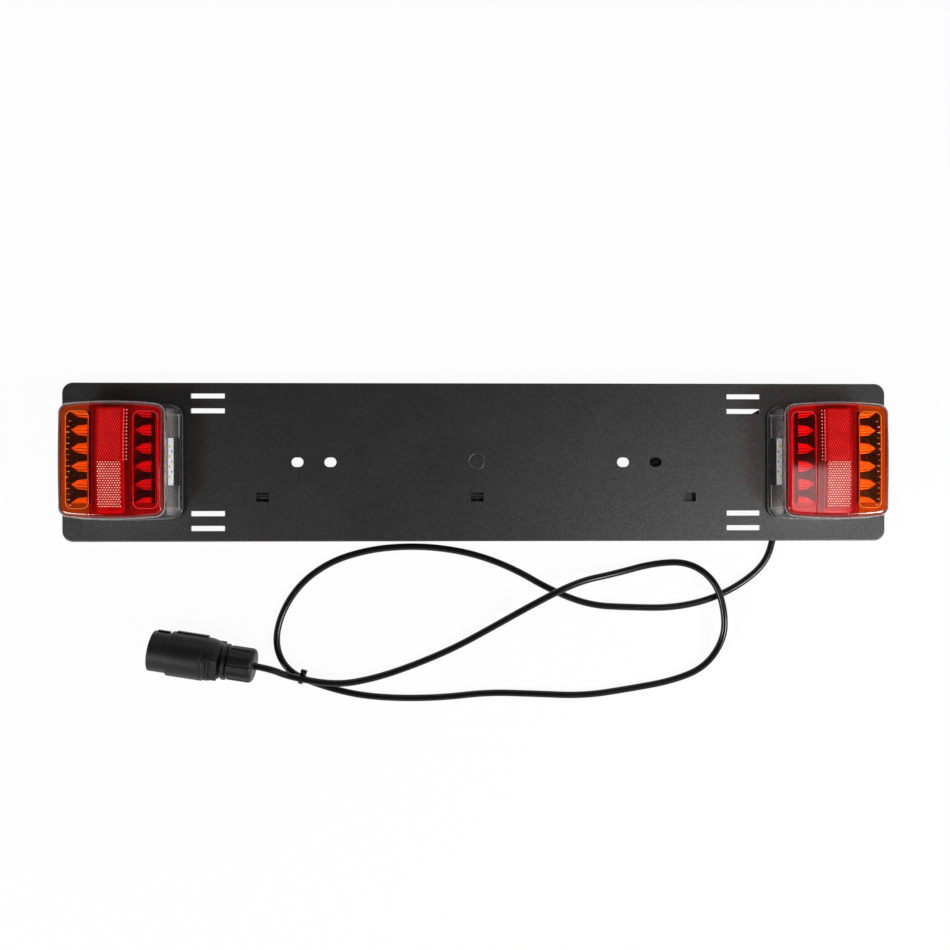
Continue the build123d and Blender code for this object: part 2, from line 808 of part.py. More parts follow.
right_lead_points = [
    lead_start,
    lead_start + lead_outwards * right_lead_run,
    *[
        (cable_hole_x - inwards, cable_hole_y + up, boot_axis_z)
        for inwards, up in (right_lead_rise, right_lead_crest, right_lead_fall)
    ],
    splice_right_end - splice_along * splice_run_in,
    splice_right_end,
]
save(round_cable(right_lead_points, lead_diameter, "right lead"), "right_lead")
left_lead_points = [
    splice_left_end,
    splice_left_end + splice_along * splice_run_out,
    (left_lead_step, window_y + left_lead_sway, hook_lead_z),
    (0, window_y, hook_lead_z),
    (-left_lead_step, window_y - 0.64 * left_lead_sway, hook_lead_z),
    (-2 * left_lead_step, window_y + 0.29 * left_lead_sway, hook_lead_z),
    (-3 * left_lead_step, window_y - 0.43 * left_lead_sway, hook_lead_z),
    (-window_x, window_y, hook_lead_z),
    (-window_x - left_lead_drop, window_y + left_lead_sway, left_lead_low_z),
    lead_end + left_outwards * left_lead_run,
    lead_end,
]
save(round_cable(left_lead_points, lead_diameter, "left lead"), "left_lead")

# Plug, built along its own axis: x runs back from the mouth, y points up
plug_back = Vector(cos(radians(plug_heading)), sin(radians(plug_heading)), 0)
plug_front = Vector(plug_mouth[0], plug_mouth[1], plug_axis_z)
plug_section = Plane(plug_front, x_dir=plug_back, z_dir=plug_back.cross(Vector(0, 0, 1)))
plug_axis = Axis(plug_front, plug_back)


def plug_plane(distance, roll=0):
    """A plane across the plug, its x pointing up and turned about the axis by roll."""
    up = Vector(0, 0, 1).rotate(Axis((0, 0, 0), plug_back), roll)
    return Plane(plug_front + plug_back * distance, x_dir=up, z_dir=plug_back)


with BuildPart() as front_housing:
    with BuildSketch(plug_section):
        with BuildLine():
            Polyline(
                (0, plug_bore_radius),
                (0, plug_barrel_radius),
                (plug_barrel_length, plug_barrel_radius),
                (plug_barrel_length, plug_body_radius),
                (plug_body_end, plug_body_radius),
                (plug_body_end, plug_bore_radius),
                close=True,
            )
        make_face()
    revolve(axis=plug_axis)
    housing_rims = front_housing.edges().filter_by(GeomType.CIRCLE).sort_by(plug_axis)
    fillet(housing_rims.sort_by(SortBy.RADIUS)[-2:], plug_step)
    with BuildSketch(plug_plane(plug_key_start, key_roll)):
        with Locations((plug_barrel_radius, 0)):
            Rectangle(2 * plug_key_height, plug_key_width)
    extrude(amount=plug_key_length)
    with BuildSketch(plug_plane(plug_ridge_start, key_roll)):
        with Locations((plug_body_radius - plug_ridge_height, 0)):
            Rectangle(4 * plug_ridge_height, plug_ridge_width)
    extrude(amount=plug_body_end - plug_ridge_start)
    with BuildSketch(plug_plane(0)):
        Circle(plug_bore_radius)
    extrude(amount=plug_body_end, mode=Mode.SUBTRACT)
save(front_housing.part, "plug_front_housing")

cover_front_radius = plug_body_radius - plug_step
shoulder_bulge = (cover_front_radius + plug_shoulder_radius) / 2 + 1.2
with BuildPart() as rear_cover:
    with BuildSketch(plug_section):
        with BuildLine():
            Polyline(
                (plug_bore_depth, plug_bore_radius - spigot_gap),
                (plug_body_end, plug_bore_radius - spigot_gap),
                (plug_body_end, cover_front_radius),
                (plug_shoulder_start, cover_front_radius),
            )
            ThreePointArc(
                (plug_shoulder_start, cover_front_radius),
                ((plug_shoulder_start + plug_shoulder_end) / 2, shoulder_bulge),
                (plug_shoulder_end, plug_shoulder_radius),
            )
            Polyline(
                (plug_shoulder_end, plug_shoulder_radius),
                (plug_shoulder_end, plug_neck_radius),
                (plug_ring_start, plug_neck_radius),
                (plug_ring_start, plug_ring_radius),
                (plug_ring_start + plug_ring_length, plug_ring_radius),
                (plug_ring_start + plug_ring_length, plug_neck_radius),
                (plug_neck_end, plug_neck_radius),
                (plug_neck_end, plug_wire_radius),
                (plug_bore_depth, plug_wire_radius),
                (plug_bore_depth, plug_bore_radius - spigot_gap),
            )
        make_face()
    revolve(axis=plug_axis)
    with BuildSketch(plug_plane(grip_start, grip_roll)):
        Rectangle(2 * grip_flat_radius, grip_width)
        Circle(plug_body_radius, mode=Mode.INTERSECT)
    extrude(amount=grip_length)
    for ridge in range(grip_ridge_count):
        with BuildSketch(plug_plane(grip_start + ridge * grip_ridge_pitch, grip_roll)):
            Rectangle(2 * grip_ridge_radius, grip_width)
            Circle(plug_body_radius, mode=Mode.INTERSECT)
        extrude(amount=grip_ridge_length)
    with BuildSketch(plug_plane(grip_start)):
        Circle(plug_wire_radius)
    extrude(amount=plug_neck_end - grip_start, mode=Mode.SUBTRACT)
save(rear_cover.part, "plug_rear_cover")

nut_end = nut_start + nut_length
with BuildPart() as gland_nut:
    with BuildSketch(plug_plane(nut_start)):
        Circle(gland_nut_radius)
    extrude(amount=nut_length)
    fillet(gland_nut.faces().sort_by(plug_axis)[-1].edges(), gland_end_radius)
    with BuildSketch(plug_plane(nut_start)):
        Circle(plug_neck_radius + gland_thread_gap)
    extrude(amount=nut_length - gland_end_wall, mode=Mode.SUBTRACT)
    with BuildSketch(plug_plane(nut_start)):
        Circle(main_cable_diameter / 2 + cable_pass_gap)
    extrude(amount=nut_length, mode=Mode.SUBTRACT)
    with BuildSketch(plug_plane(nut_start)):
        with PolarLocations(gland_nut_radius + gland_flute_radius - gland_flute_depth, gland_flute_count):
            Circle(gland_flute_radius)
    extrude(amount=nut_length, mode=Mode.SUBTRACT)
save(gland_nut.part, "plug_gland_nut")

seal_end = nut_end - gland_end_wall
with BuildPart() as cable_seal:
    with BuildSketch(plug_plane(plug_neck_end)):
        Circle(plug_neck_radius - seal_clearance)
        Circle(main_cable_diameter / 2 + cable_pass_gap, mode=Mode.SUBTRACT)
    extrude(amount=seal_end - plug_neck_end)
save(cable_seal.part, "plug_cable_seal")

with BuildPart() as contact_insert:
    with BuildSketch(plug_plane(insert_front)):
        Circle(plug_bore_radius - insert_gap)
        with PolarLocations(contact_circle_radius, contact_count):
            Circle(contact_radius + contact_gap, mode=Mode.SUBTRACT)
        Circle(contact_radius + contact_gap, mode=Mode.SUBTRACT)
    extrude(amount=plug_bore_depth - insert_front)
save(contact_insert.part, "plug_contact_insert")

with BuildPart() as contact_pins:
    with BuildSketch(plug_plane(contact_front)):
        with PolarLocations(contact_circle_radius, contact_count):
            Circle(contact_radius)
        Circle(contact_radius)
    extrude(amount=plug_bore_depth - contact_front)
save(contact_pins.part, "plug_contact_pins")

# Main cable: from the right lamp's boot, out under the panel's rim, round its loops, into the plug
def laid(x, y, z):
    """A point of the cable, measured from where it leaves the panel's rim."""
    return (outlet_x + x, board_front_y + y, z)


cable_end = plug_front + plug_back * plug_neck_end
cable_exit = plug_front + plug_back * (nut_end + 2 * main_cable_diameter)
main_cable_points = [
    main_start,
    main_start + main_outwards * 20,
    laid(12.5, 53.5, 5.2),
    laid(2.5, 33, 3.8),
    laid(1.3, 5, floor_z),
    laid(-6.5, -21, floor_z),
    laid(-28.5, -40.5, floor_z),
    laid(-59.5, -56.5, floor_z),
    laid(-97.5, -64.8, floor_z),
    laid(-139.5, -64, floor_z),
    laid(-177.5, -62, floor_z),
    laid(-214.5, -47.5, floor_z),
    laid(-249.5, -27, floor_z),
    laid(-285.5, -13, floor_z),
    laid(-322.5, -6, floor_z),
    laid(-357.5, -4.8, floor_z),
    laid(-391.5, -8.5, floor_z),
    laid(-425.5, -19, floor_z),
    laid(-454.5, -39.5, floor_z),
    laid(-473.5, -69, floor_z),
    laid(-479.2, -99.7, floor_z),
    laid(-466.5, -124.7, tied_low_z),
    laid(-435.5, -137.5, tied_low_z),
    laid(-401.5, -147, floor_z),
    laid(-363.5, -150.5, floor_z),
    laid(-319.5, -150, floor_z),
    laid(-275.5, -145.2, floor_z),
    laid(-231.5, -146.8, floor_z),
    laid(-183.5, -149, floor_z),
    laid(-139.5, -142.5, floor_z),
    laid(-97.5, -135, floor_z),
    laid(-66.5, -122, 5),
    laid(-49.5, -95, 11),
    laid(-49.5, -68, crossing_z),
    laid(-58.5, -38, crossing_z),
    laid(-82.5, -20, 10),
    laid(-115.5, -21.5, floor_z),
    laid(-153.5, -31.5, 6.5),
    laid(-190.5, -38.5, crossing_z),
    laid(-235.5, -61.5, crossing_z),
    laid(-271.5, -82.5, 8),
    laid(-307.5, -102.5, floor_z),
    laid(-347.5, -119.2, floor_z),
    laid(-383.5, -131, 5),
    laid(-419.5, -136.5, tied_high_z),
    laid(-463.5, -128.5, tied_high_z),
    cable_exit,
    cable_end,
]
save(round_cable(main_cable_points, main_cable_diameter, "main cable"), "main_cable")

# Cable tie round the two strands behind the plug
tie_along = Vector(cos(radians(tie_heading)), sin(radians(tie_heading)), 0)
tie_centre = Vector(tie_place[0], tie_place[1], (tied_low_z + tied_high_z) / 2)
tie_inner_width = main_cable_diameter + 2 * tie_gap
tie_strand_pitch = tied_high_z - tied_low_z
tie_plane = Plane(tie_centre - tie_along * (tie_strap_width / 2), x_dir=(0, 0, 1), z_dir=tie_along)
tie_outer_width = tie_inner_width + 2 * tie_strap_thickness
with BuildPart() as cable_tie:
    with BuildSketch(tie_plane):
        SlotCenterToCenter(tie_strand_pitch, tie_outer_width)
        SlotCenterToCenter(tie_strand_pitch, tie_inner_width, mode=Mode.SUBTRACT)
    extrude(amount=tie_strap_width)
    head_y = tie_outer_width / 2 - tie_strap_thickness / 2 + tie_head_depth / 2
    with BuildSketch(tie_plane.offset((tie_strap_width - tie_head_side) / 2)):
        with Locations((0, -head_y)):
            RectangleRounded(tie_head_height, tie_head_depth, 0.8)
    extrude(amount=tie_head_side)
    with BuildSketch(tie_plane):
        with Locations((tie_head_height / 2 + tie_tail_length / 2, -head_y)):
            Rectangle(tie_tail_length, tie_strap_thickness)
    extrude(amount=tie_strap_width)
save(cable_tie.part, "cable_tie")
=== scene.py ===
"""Looks of the trailer lighting board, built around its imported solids."""

import logging
import math
from dataclasses import dataclass, fields
from enum import Enum
from typing import Any, Sequence

import bmesh
import bpy
from mathutils import Euler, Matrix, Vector


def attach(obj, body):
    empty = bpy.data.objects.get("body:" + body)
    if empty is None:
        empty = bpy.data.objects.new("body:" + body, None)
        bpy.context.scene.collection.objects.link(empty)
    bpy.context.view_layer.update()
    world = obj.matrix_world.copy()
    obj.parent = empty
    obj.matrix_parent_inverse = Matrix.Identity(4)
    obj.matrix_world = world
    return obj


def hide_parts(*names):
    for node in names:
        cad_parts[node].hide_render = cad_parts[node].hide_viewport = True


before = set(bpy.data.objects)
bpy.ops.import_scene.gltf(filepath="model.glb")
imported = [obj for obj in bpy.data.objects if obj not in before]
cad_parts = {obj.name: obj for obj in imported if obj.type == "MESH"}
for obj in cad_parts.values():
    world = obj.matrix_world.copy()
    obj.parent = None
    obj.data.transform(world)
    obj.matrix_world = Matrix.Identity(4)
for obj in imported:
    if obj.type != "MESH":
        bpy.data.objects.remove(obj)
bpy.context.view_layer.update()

MM = 0.001
log = logging.getLogger("lighting_board")

Colour = tuple[float, float, float]
Point = tuple[float, float, float]
Pair = tuple[float, float]
Edge = tuple[Vector, Vector]
Faces = list[tuple[int, ...]]
Mesh = bpy.types.Mesh
Piece = bpy.types.Object
Socket = bpy.types.NodeSocket

# What most of a cloudy pattern lies between, and what all of it lies between
CLOUDY = (0.35, 0.65)
WHOLE = (0.3, 0.7)
# Refraction of clear plastic, and the depth of the finest grain
ACRYLIC = 1.49
FINE_GRAIN = 0.01
# How deep small shapes stand in their surface, and the radius at the top of a turned one
FOOT = -0.05
TOP = 0.001
QUARTERS = ((1, 1), (-1, 1), (-1, -1), (1, -1))


class Side(Enum):
    """Which lamp a piece belongs to, with the sign of its X."""

    RIGHT = 1
    LEFT = -1

    @property
    def prefix(self) -> str:
        """The start of the names of that lamp's pieces."""
        return self.name.lower()


class NodeSheet:
    """A node tree that grows by short calls."""

    def __init__(self, tree: bpy.types.NodeTree) -> None:
        """Start from an empty tree."""
        tree.nodes.clear()
        self.tree = tree

    def add(self, kind: str, inputs: dict[str | int, Any] | None = None, **options: Any) -> bpy.types.Node:
        """Add one node.

        Args:
            kind: the node's type.
            inputs: a value or an output socket for each input, by name or place.
            options: the node's own settings.

        Returns:
            The new node.
        """
        node = self.tree.nodes.new(kind)
        for name, value in options.items():
            setattr(node, name, value)
        for key, value in (inputs or {}).items():
            if isinstance(value, bpy.types.NodeSocket):
                self.tree.links.new(value, node.inputs[key])
            else:
                node.inputs[key].default_value = value
        return node

    def maths(self, operation: str, *values: float | Socket) -> Socket:
        """One arithmetic step.

        Args:
            operation: the step's name.
            values: its numbers or sockets, in order.

        Returns:
            The result's socket.
        """
        return self.add("ShaderNodeMath", dict(enumerate(values)), operation=operation).outputs[0]

    def ramp(
        self, value: Socket, low: float, high: float, start: float | Socket = 0.0, end: float | Socket = 1.0
    ) -> Socket:
        """Map a value to a new range, clamped at both ends.

        Args:
            value: what is mapped.
            low: the value that becomes start.
            high: the value that becomes end.
            start: result at low.
            end: result at high.

        Returns:
            The result's socket.
        """
        places = {"Value": value, "From Min": low, "From Max": high, "To Min": start, "To Max": end}
        return self.add("ShaderNodeMapRange", places).outputs[0]

    def blend(self, share: Socket, first: Colour | Socket, second: Colour | Socket) -> Socket:
        """Mix two colours.

        Args:
            share: how much of the second shows.
            first: a colour or its socket.
            second: a colour or its socket.

        Returns:
            The mixed colour's socket.
        """
        colours = [(*c, 1.0) if isinstance(c, tuple) else c for c in (first, second)]
        node = self.add("ShaderNodeMix", {0: share, 6: colours[0], 7: colours[1]}, data_type="RGBA")
        return node.outputs[2]

    def place(self) -> Socket:
        """The point's own coordinates, in metres."""
        return self.add("ShaderNodeTexCoord").outputs["Object"]

    def speckle(self, size: float, detail: float = 2.0, where: Socket | None = None) -> Socket:
        """A cloudy pattern.

        Args:
            size: width of its patches in millimetres.
            detail: how many finer layers it has.
            where: coordinates, or the point's own.

        Returns:
            The pattern's socket, about 0.3 to 0.7.
        """
        inputs = {"Vector": where or self.place(), "Scale": 1 / (size * MM), "Detail": detail}
        return self.add("ShaderNodeTexNoise", inputs).outputs["Fac"]

    def relief(self, height: Socket, depth: float, strength: float = 1.0) -> Socket:
        """Raise the surface by a pattern.

        Args:
            height: the pattern.
            depth: its full height in millimetres.
            strength: how much of it shows.

        Returns:
            The bent normal's socket.
        """
        inputs = {"Height": height, "Distance": depth * MM, "Strength": strength}
        return self.add("ShaderNodeBump", inputs).outputs["Normal"]


def scaled(colour: Colour, share: float) -> Colour:
    """A colour made lighter or darker by a share."""
    return tuple(min(1.0, channel * share) for channel in colour)


@dataclass(frozen=True)
class Finish:
    """One finish, made into a material on its first use."""

    name: str

    def material(self) -> bpy.types.Material:
        """The finish's material, under a name that none of the frame's own materials has.

        Returns:
            The material, made on the first call.
        """
        label = f"finish_{self.name}"
        found = bpy.data.materials.get(label)
        if found:
            return found
        made = bpy.data.materials.new(label)
        made.use_nodes = True
        sheet = NodeSheet(made.node_tree)
        sheet.add("ShaderNodeOutputMaterial", {"Surface": self.surface(sheet)})
        return made

    def surface(self, sheet: NodeSheet) -> Socket:
        """The shader's socket, a principled surface unless the finish adds to it."""
        return sheet.add("ShaderNodeBsdfPrincipled", self.inputs(sheet)).outputs[0]

    def inputs(self, sheet: NodeSheet) -> dict[str, Any]:
        """The surface's inputs by name, which each kind of finish builds."""
        raise NotImplementedError


@dataclass(frozen=True)
class Moulding(Finish):
    """Moulded plastic or rubber with a fine grain and cloudy patches; sizes are millimetres."""

    colour: Colour
    roughness: float = 0.5
    grain: float = 0.9
    grain_depth: float = 0.03
    patch: float = 35.0
    mottling: float = 0.08
    gloss_spread: float = 0.05
    fleck: float = 1.8
    specular: float = 0.5

    def inputs(self, sheet: NodeSheet) -> dict[str, Any]:
        """Plastic whose colour, gloss and grain vary.

        Args:
            sheet: the material's nodes.

        Returns:
            The surface's inputs by name.
        """
        patches = sheet.speckle(self.patch, 3.0)
        grain = sheet.speckle(self.grain, 2.0)
        tones = (scaled(self.colour, 1 - self.mottling), scaled(self.colour, 1 + self.mottling))
        colour = sheet.blend(sheet.ramp(patches, *CLOUDY), *tones)
        flecks = sheet.ramp(grain, 0.52, 0.75, 0.0, 0.5)
        rough, spread = self.roughness, self.gloss_spread
        sheen = (self.specular * (1 - self.mottling), self.specular * (1 + self.mottling))
        return {
            "Base Color": sheet.blend(flecks, colour, scaled(self.colour, self.fleck)),
            "Roughness": sheet.ramp(patches, *WHOLE, rough - spread, rough + spread),
            "Specular IOR Level": sheet.ramp(grain, *CLOUDY, *sheen),
            "Normal": self.normal(sheet, grain),
        }

    def normal(self, sheet: NodeSheet, grain: Socket) -> Socket:
        """The grain as relief."""
        return sheet.relief(grain, self.grain_depth)


@dataclass(frozen=True)
class PanelMoulding(Moulding):
    """The panel's plastic: grain, the sink lines over its end ribs and the rings of the gate mark."""

    rib_place: float = 370.0
    rib_width: float = 1.6
    sink_depth: float = 0.05
    gate_place: Point = (0.0, 0.0, 16.0)
    gate_radius: float = 7.4
    gate_pit: float = 2.0
    gate_groove: float = 0.9
    gate_depth: float = 0.25

    def normal(self, sheet: NodeSheet, grain: Socket) -> Socket:
        """The grain, with a shallow groove over each end rib and round the gate mark.

        Args:
            sheet: the material's nodes.
            grain: the fine pattern.

        Returns:
            The bent normal's socket.
        """
        along = sheet.add("ShaderNodeSeparateXYZ", {0: sheet.place()}).outputs["X"]
        away = sheet.maths("SUBTRACT", sheet.maths("ABSOLUTE", along), self.rib_place * MM)
        sink = sheet.ramp(sheet.maths("ABSOLUTE", away), 0.0, self.rib_width * MM, 0.0, self.sink_depth)
        centre = {0: sheet.place(), 1: [c * MM for c in self.gate_place]}
        gap = sheet.add("ShaderNodeVectorMath", centre, operation="DISTANCE").outputs["Value"]
        from_ring = sheet.maths("ABSOLUTE", sheet.maths("SUBTRACT", gap, self.gate_radius * MM))
        ring = sheet.ramp(from_ring, 0.0, self.gate_groove * MM, 0.0, self.gate_depth)
        pit = sheet.ramp(gap, 0.0, self.gate_pit * MM, 0.0, self.gate_depth)
        depth = sheet.maths("ADD", sink, sheet.maths("ADD", ring, pit))
        inputs = {"Height": depth, "Distance": MM, "Normal": sheet.relief(grain, self.grain_depth)}
        return sheet.add("ShaderNodeBump", inputs).outputs["Normal"]


@dataclass(frozen=True)
class LensPlastic(Finish):
    """Clear or tinted plastic that light and shadows pass through."""

    tint: Colour
    shade: Colour
    haze: float = 0.1
    roughness: float = 0.03
    gloss_spread: float = 0.05
    patch: float = 14.0
    ripple: float = 6.0
    ripple_depth: float = 0.004

    def inputs(self, sheet: NodeSheet) -> dict[str, Any]:
        """Tinted glass with a faint ripple.

        Args:
            sheet: the material's nodes.

        Returns:
            The surface's inputs by name.
        """
        gloss = (self.roughness, self.roughness + self.gloss_spread)
        return {
            "Base Color": (*self.tint, 1.0),
            "Roughness": sheet.ramp(sheet.speckle(self.patch, 3.0), 0.35, 0.7, *gloss),
            "IOR": ACRYLIC,
            "Transmission Weight": 1 - self.haze,
            "Normal": sheet.relief(sheet.speckle(self.ripple, 1.0), self.ripple_depth),
        }

    def surface(self, sheet: NodeSheet) -> Socket:
        """The glass for the eye, and a tinted gap for the light that goes in.

        Args:
            sheet: the material's nodes.

        Returns:
            The shader's socket.
        """
        glass = super().surface(sheet)
        gap = sheet.add("ShaderNodeBsdfTransparent", {"Color": (*self.shade, 1.0)}).outputs[0]
        shadow = sheet.add("ShaderNodeLightPath").outputs["Is Shadow Ray"]
        return sheet.add("ShaderNodeMixShader", {0: shadow, 1: glass, 2: gap}).outputs[0]


@dataclass(frozen=True)
class Metal(Finish):
    """Plated or bare metal with faint tarnish and a fine surface."""

    colour: Colour
    roughness: float = 0.3
    tarnish: float = 0.25
    gloss_spread: float = 0.12
    patch: float = 5.0
    grain: float = 0.4

    def inputs(self, sheet: NodeSheet) -> dict[str, Any]:
        """Metal whose tone and gloss vary.

        Args:
            sheet: the material's nodes.

        Returns:
            The surface's inputs by name.
        """
        patches = sheet.speckle(self.patch, 4.0)
        tones = (scaled(self.colour, 1 - self.tarnish), self.colour)
        gloss = (self.roughness + self.gloss_spread, self.roughness)
        return {
            "Base Color": sheet.blend(sheet.ramp(patches, 0.35, 0.6), *tones),
            "Metallic": 1.0,
            "Roughness": sheet.ramp(patches, *WHOLE, *gloss),
            "Normal": sheet.relief(sheet.speckle(self.grain), FINE_GRAIN),
        }


@dataclass(frozen=True)
class Metallising(Finish):
    """The reflector's coat: fluted lands with painted highlights between cups in painted shade, duller frames
    and a grey side in painted shade; millimetres.
    """

    # Painted light: land is the peak of the painted highlight on the lands, cup the painted shade of the
    # cups, streak their painted reflections.
    land: float = 0.95
    cup: float = 0.004
    streak: float = 0.10
    # Painted shade on the side below the lands, lighter further out, and a painted highlight along the
    # apron's edge.
    side: float = 0.06
    near_strip: float = 0.2
    edge: float = 0.45
    inner_frame: float = 0.3
    outer_frame: float = 0.25
    masked: float = 0.2
    land_height: float = 47.7
    side_edge: float = 291.2
    side_fade: Pair = (282.0, 287.0)
    edge_centre: float = 279.3
    edge_half: float = 0.5
    red_column: float = 306.3
    column_pitch: float = 57.65
    cup_pitch: float = 16.5
    cup_shift: float = 2.4
    fan_tip: float = 4.7
    fan_base: float = -9.7
    fan_point: float = 0.3
    fan_shoulder: float = 3.9
    flutes: float = 4.7
    flute_wander: float = 1.6
    cup_margin: float = 3.6
    # Size of the pattern that draws the painted streaks of reflection in the cups.
    scratch: float = 0.7
    cloud: float = 3.0
    grain: float = 1.2
    column_half: float = 41.8
    band_centre: float = 330.7
    band_half: float = 19.4

    def wedges(self, sheet: NodeSheet, local: Socket, along: Socket) -> Socket:
        """Painted highlight on the lands: flutes of painted reflection that spread from each tip, and painted
        light that makes each wedge lighter towards its upper edge.

        Args:
            sheet: the material's nodes.
            local: distance from the column's middle.
            along: distance up the board.

        Returns:
            The tone's socket.
        """
        maths = sheet.maths
        reach = sheet.ramp(local, self.fan_tip, self.fan_base)
        row = maths("FRACT", maths("DIVIDE", maths("SUBTRACT", along, self.cup_shift), self.cup_pitch))
        height = maths("MULTIPLY", maths("SUBTRACT", row, 0.5), self.cup_pitch)
        spread = maths("MINIMUM", maths("MULTIPLY", reach, 2.5), 1.0)
        half = maths("MULTIPLY_ADD", spread, self.fan_shoulder, maths("ADD", reach, self.fan_point))
        share = maths("DIVIDE", height, half)
        wander = maths("MULTIPLY_ADD", sheet.speckle(self.flute_wander), 2.0, -1.0)
        # Painted flutes: stripes of painted highlight across each wedge.
        painted_flute_streaks = maths("ABSOLUTE", maths("SINE", maths("MULTIPLY_ADD", share, self.flutes, wander)))
        # Painted light: each wedge lighter towards its upper edge.
        painted_top_light = sheet.ramp(share, -1.0, 0.8, 0.45, 1.0)
        return maths("MULTIPLY", sheet.ramp(painted_flute_streaks, 0.0, 0.8, 0.4, self.land), painted_top_light)

    def inputs(self, sheet: NodeSheet) -> dict[str, Any]:
        """Satin metal whose tone follows the height and the place in the lamp: painted highlights on the
        raised lands, painted shade in the cups and on the side below them.

        Args:
            sheet: the material's nodes.

        Returns:
            The surface's inputs by name.
        """
        maths, ramp = sheet.maths, sheet.ramp
        axes = sheet.add("ShaderNodeSeparateXYZ", {0: sheet.place()}).outputs
        across = maths("DIVIDE", maths("ABSOLUTE", axes["X"]), MM)
        along = maths("DIVIDE", axes["Y"], MM)
        # Raised lands take the painted highlight, everything lower the painted shade of the cups.
        raised = ramp(axes["Z"], (self.land_height - 0.2) * MM, self.land_height * MM)
        outer = maths("GREATER_THAN", across, self.red_column + self.column_pitch / 2)
        column = maths("MULTIPLY_ADD", outer, self.column_pitch, self.red_column)
        local = maths("SUBTRACT", across, column)
        inside = maths("COMPARE", along, self.cup_shift, self.column_half)
        middle, half = (self.fan_tip + self.fan_base) / 2, (self.fan_tip - self.fan_base) / 2
        fans = maths("MULTIPLY", inside, maths("COMPARE", local, middle, half))
        # Beside the fans the land takes the cups' painted shade.
        painted_cup_shade_mask = maths("MULTIPLY", inside, maths("COMPARE", local, middle, half + self.cup_margin))
        frame_tone = ramp(outer, 0.0, 1.0, self.inner_frame, self.outer_frame)
        top = ramp(painted_cup_shade_mask, 0.0, 1.0, frame_tone, self.cup)
        top = ramp(fans, 0.0, 1.0, top, self.wedges(sheet, local, along))
        # Painted reflections: faint streaks in each cup, stronger towards the tip.
        stretched = sheet.add("ShaderNodeMapping", {"Vector": sheet.place(), "Scale": (0.25, 1.0, 0.25)})
        lines = ramp(sheet.speckle(self.scratch, where=stretched.outputs[0]), 0.5, 0.7, 0.0, self.streak)
        low = maths("MULTIPLY_ADD", lines, ramp(local, -4.0, 2.0), self.cup)
        tone = ramp(raised, 0.0, 1.0, low, top)
        band = maths("COMPARE", across, self.band_centre, self.band_half)
        tone = ramp(band, 0.0, 1.0, tone, self.masked)
        # Below the lands: painted shade on the side, with a painted highlight along the apron's edge.
        rim = maths("COMPARE", across, self.edge_centre, self.edge_half)
        level = ramp(across, *self.side_fade, self.side, self.near_strip)
        cloud = maths("MULTIPLY", level, ramp(sheet.speckle(self.cloud, 3.0), 0.35, 0.6, 0.7, 1.0))
        painted_side_light_mask = maths("MULTIPLY", maths("SUBTRACT", 1.0, raised), maths("LESS_THAN", across, self.side_edge))
        return {
            "Base Color": ramp(painted_side_light_mask, 0.0, 1.0, tone, ramp(rim, 0.0, 1.0, cloud, self.edge)),
            "Metallic": 0.3,
            "Roughness": ramp(raised, 0.0, 1.0, 0.4, 0.3),
            "Specular IOR Level": 0.2,
            "Normal": sheet.relief(sheet.speckle(self.grain), FINE_GRAIN),
        }


@dataclass(frozen=True)
class CircuitLaminate(Finish):
    """A circuit board: dark mask over copper tracks."""

    mask: Colour
    track: Colour
    pitch: float = 3.4
    track_depth: float = 0.03
    patch: float = 6.0

    def inputs(self, sheet: NodeSheet) -> dict[str, Any]:
        """Mask colour with tracks that show as slightly raised lines.

        Args:
            sheet: the material's nodes.

        Returns:
            The surface's inputs by name.
        """
        cells = {"Vector": sheet.place(), "Scale": 1 / (self.pitch * MM), "Randomness": 0.55}
        edges = sheet.add("ShaderNodeTexVoronoi", cells, feature="DISTANCE_TO_EDGE").outputs["Distance"]
        tracks = sheet.ramp(edges, 0.03, 0.08)
        return {
            "Base Color": sheet.blend(tracks, self.track, self.mask),
            "Roughness": sheet.ramp(sheet.speckle(self.patch), *WHOLE, 0.32, 0.45),
            "Normal": sheet.relief(tracks, -self.track_depth),
        }


@dataclass(frozen=True)
class LedResin(Finish):
    """Cast resin of an LED, with a cloudy tone."""

    colour: Colour
    clear: float = 0.35
    patch: float = 1.5

    def inputs(self, sheet: NodeSheet) -> dict[str, Any]:
        """Glossy resin with a cloudy tone.

        Args:
            sheet: the material's nodes.

        Returns:
            The surface's inputs by name.
        """
        cloud = sheet.ramp(sheet.speckle(self.patch), *CLOUDY)
        return {
            "Base Color": sheet.blend(cloud, scaled(self.colour, 0.8), self.colour),
            "Roughness": sheet.ramp(cloud, 0.0, 1.0, 0.12, 0.22),
            "IOR": 1.5,
            "Transmission Weight": self.clear,
        }


@dataclass(frozen=True)
class ReflexPlastic(Finish):
    """Prism plastic: a deep body colour under a polished face, with a painted glow that stands in for the
    light that prisms send back.
    """

    colour: Colour
    roughness: float = 0.2
    clear: float = 0.15
    specular: float = 0.2
    # Strength of the painted glow, an emission standing in for glints.
    glint: float = 0.0
    gloss_spread: float = 0.1
    patch: float = 9.0
    grain: float = 0.8

    def inputs(self, sheet: NodeSheet) -> dict[str, Any]:
        """Polished plastic that scatters its own colour.

        Args:
            sheet: the material's nodes.

        Returns:
            The surface's inputs by name.
        """
        cloud = sheet.speckle(self.patch, 3.0)
        tones = (scaled(self.colour, 0.82), self.colour)
        return {
            "Base Color": sheet.blend(sheet.ramp(cloud, *CLOUDY), *tones),
            "Roughness": sheet.ramp(cloud, *WHOLE, self.roughness, self.roughness + self.gloss_spread),
            "IOR": ACRYLIC,
            "Specular IOR Level": self.specular,
            "Transmission Weight": self.clear,
            # Painted glint: the plastic glows in its own colour, standing in for light the prisms send back.
            "Emission Color": (*self.colour, 1.0),
            "Emission Strength": self.glint,
            "Normal": sheet.relief(sheet.speckle(self.grain), FINE_GRAIN),
        }


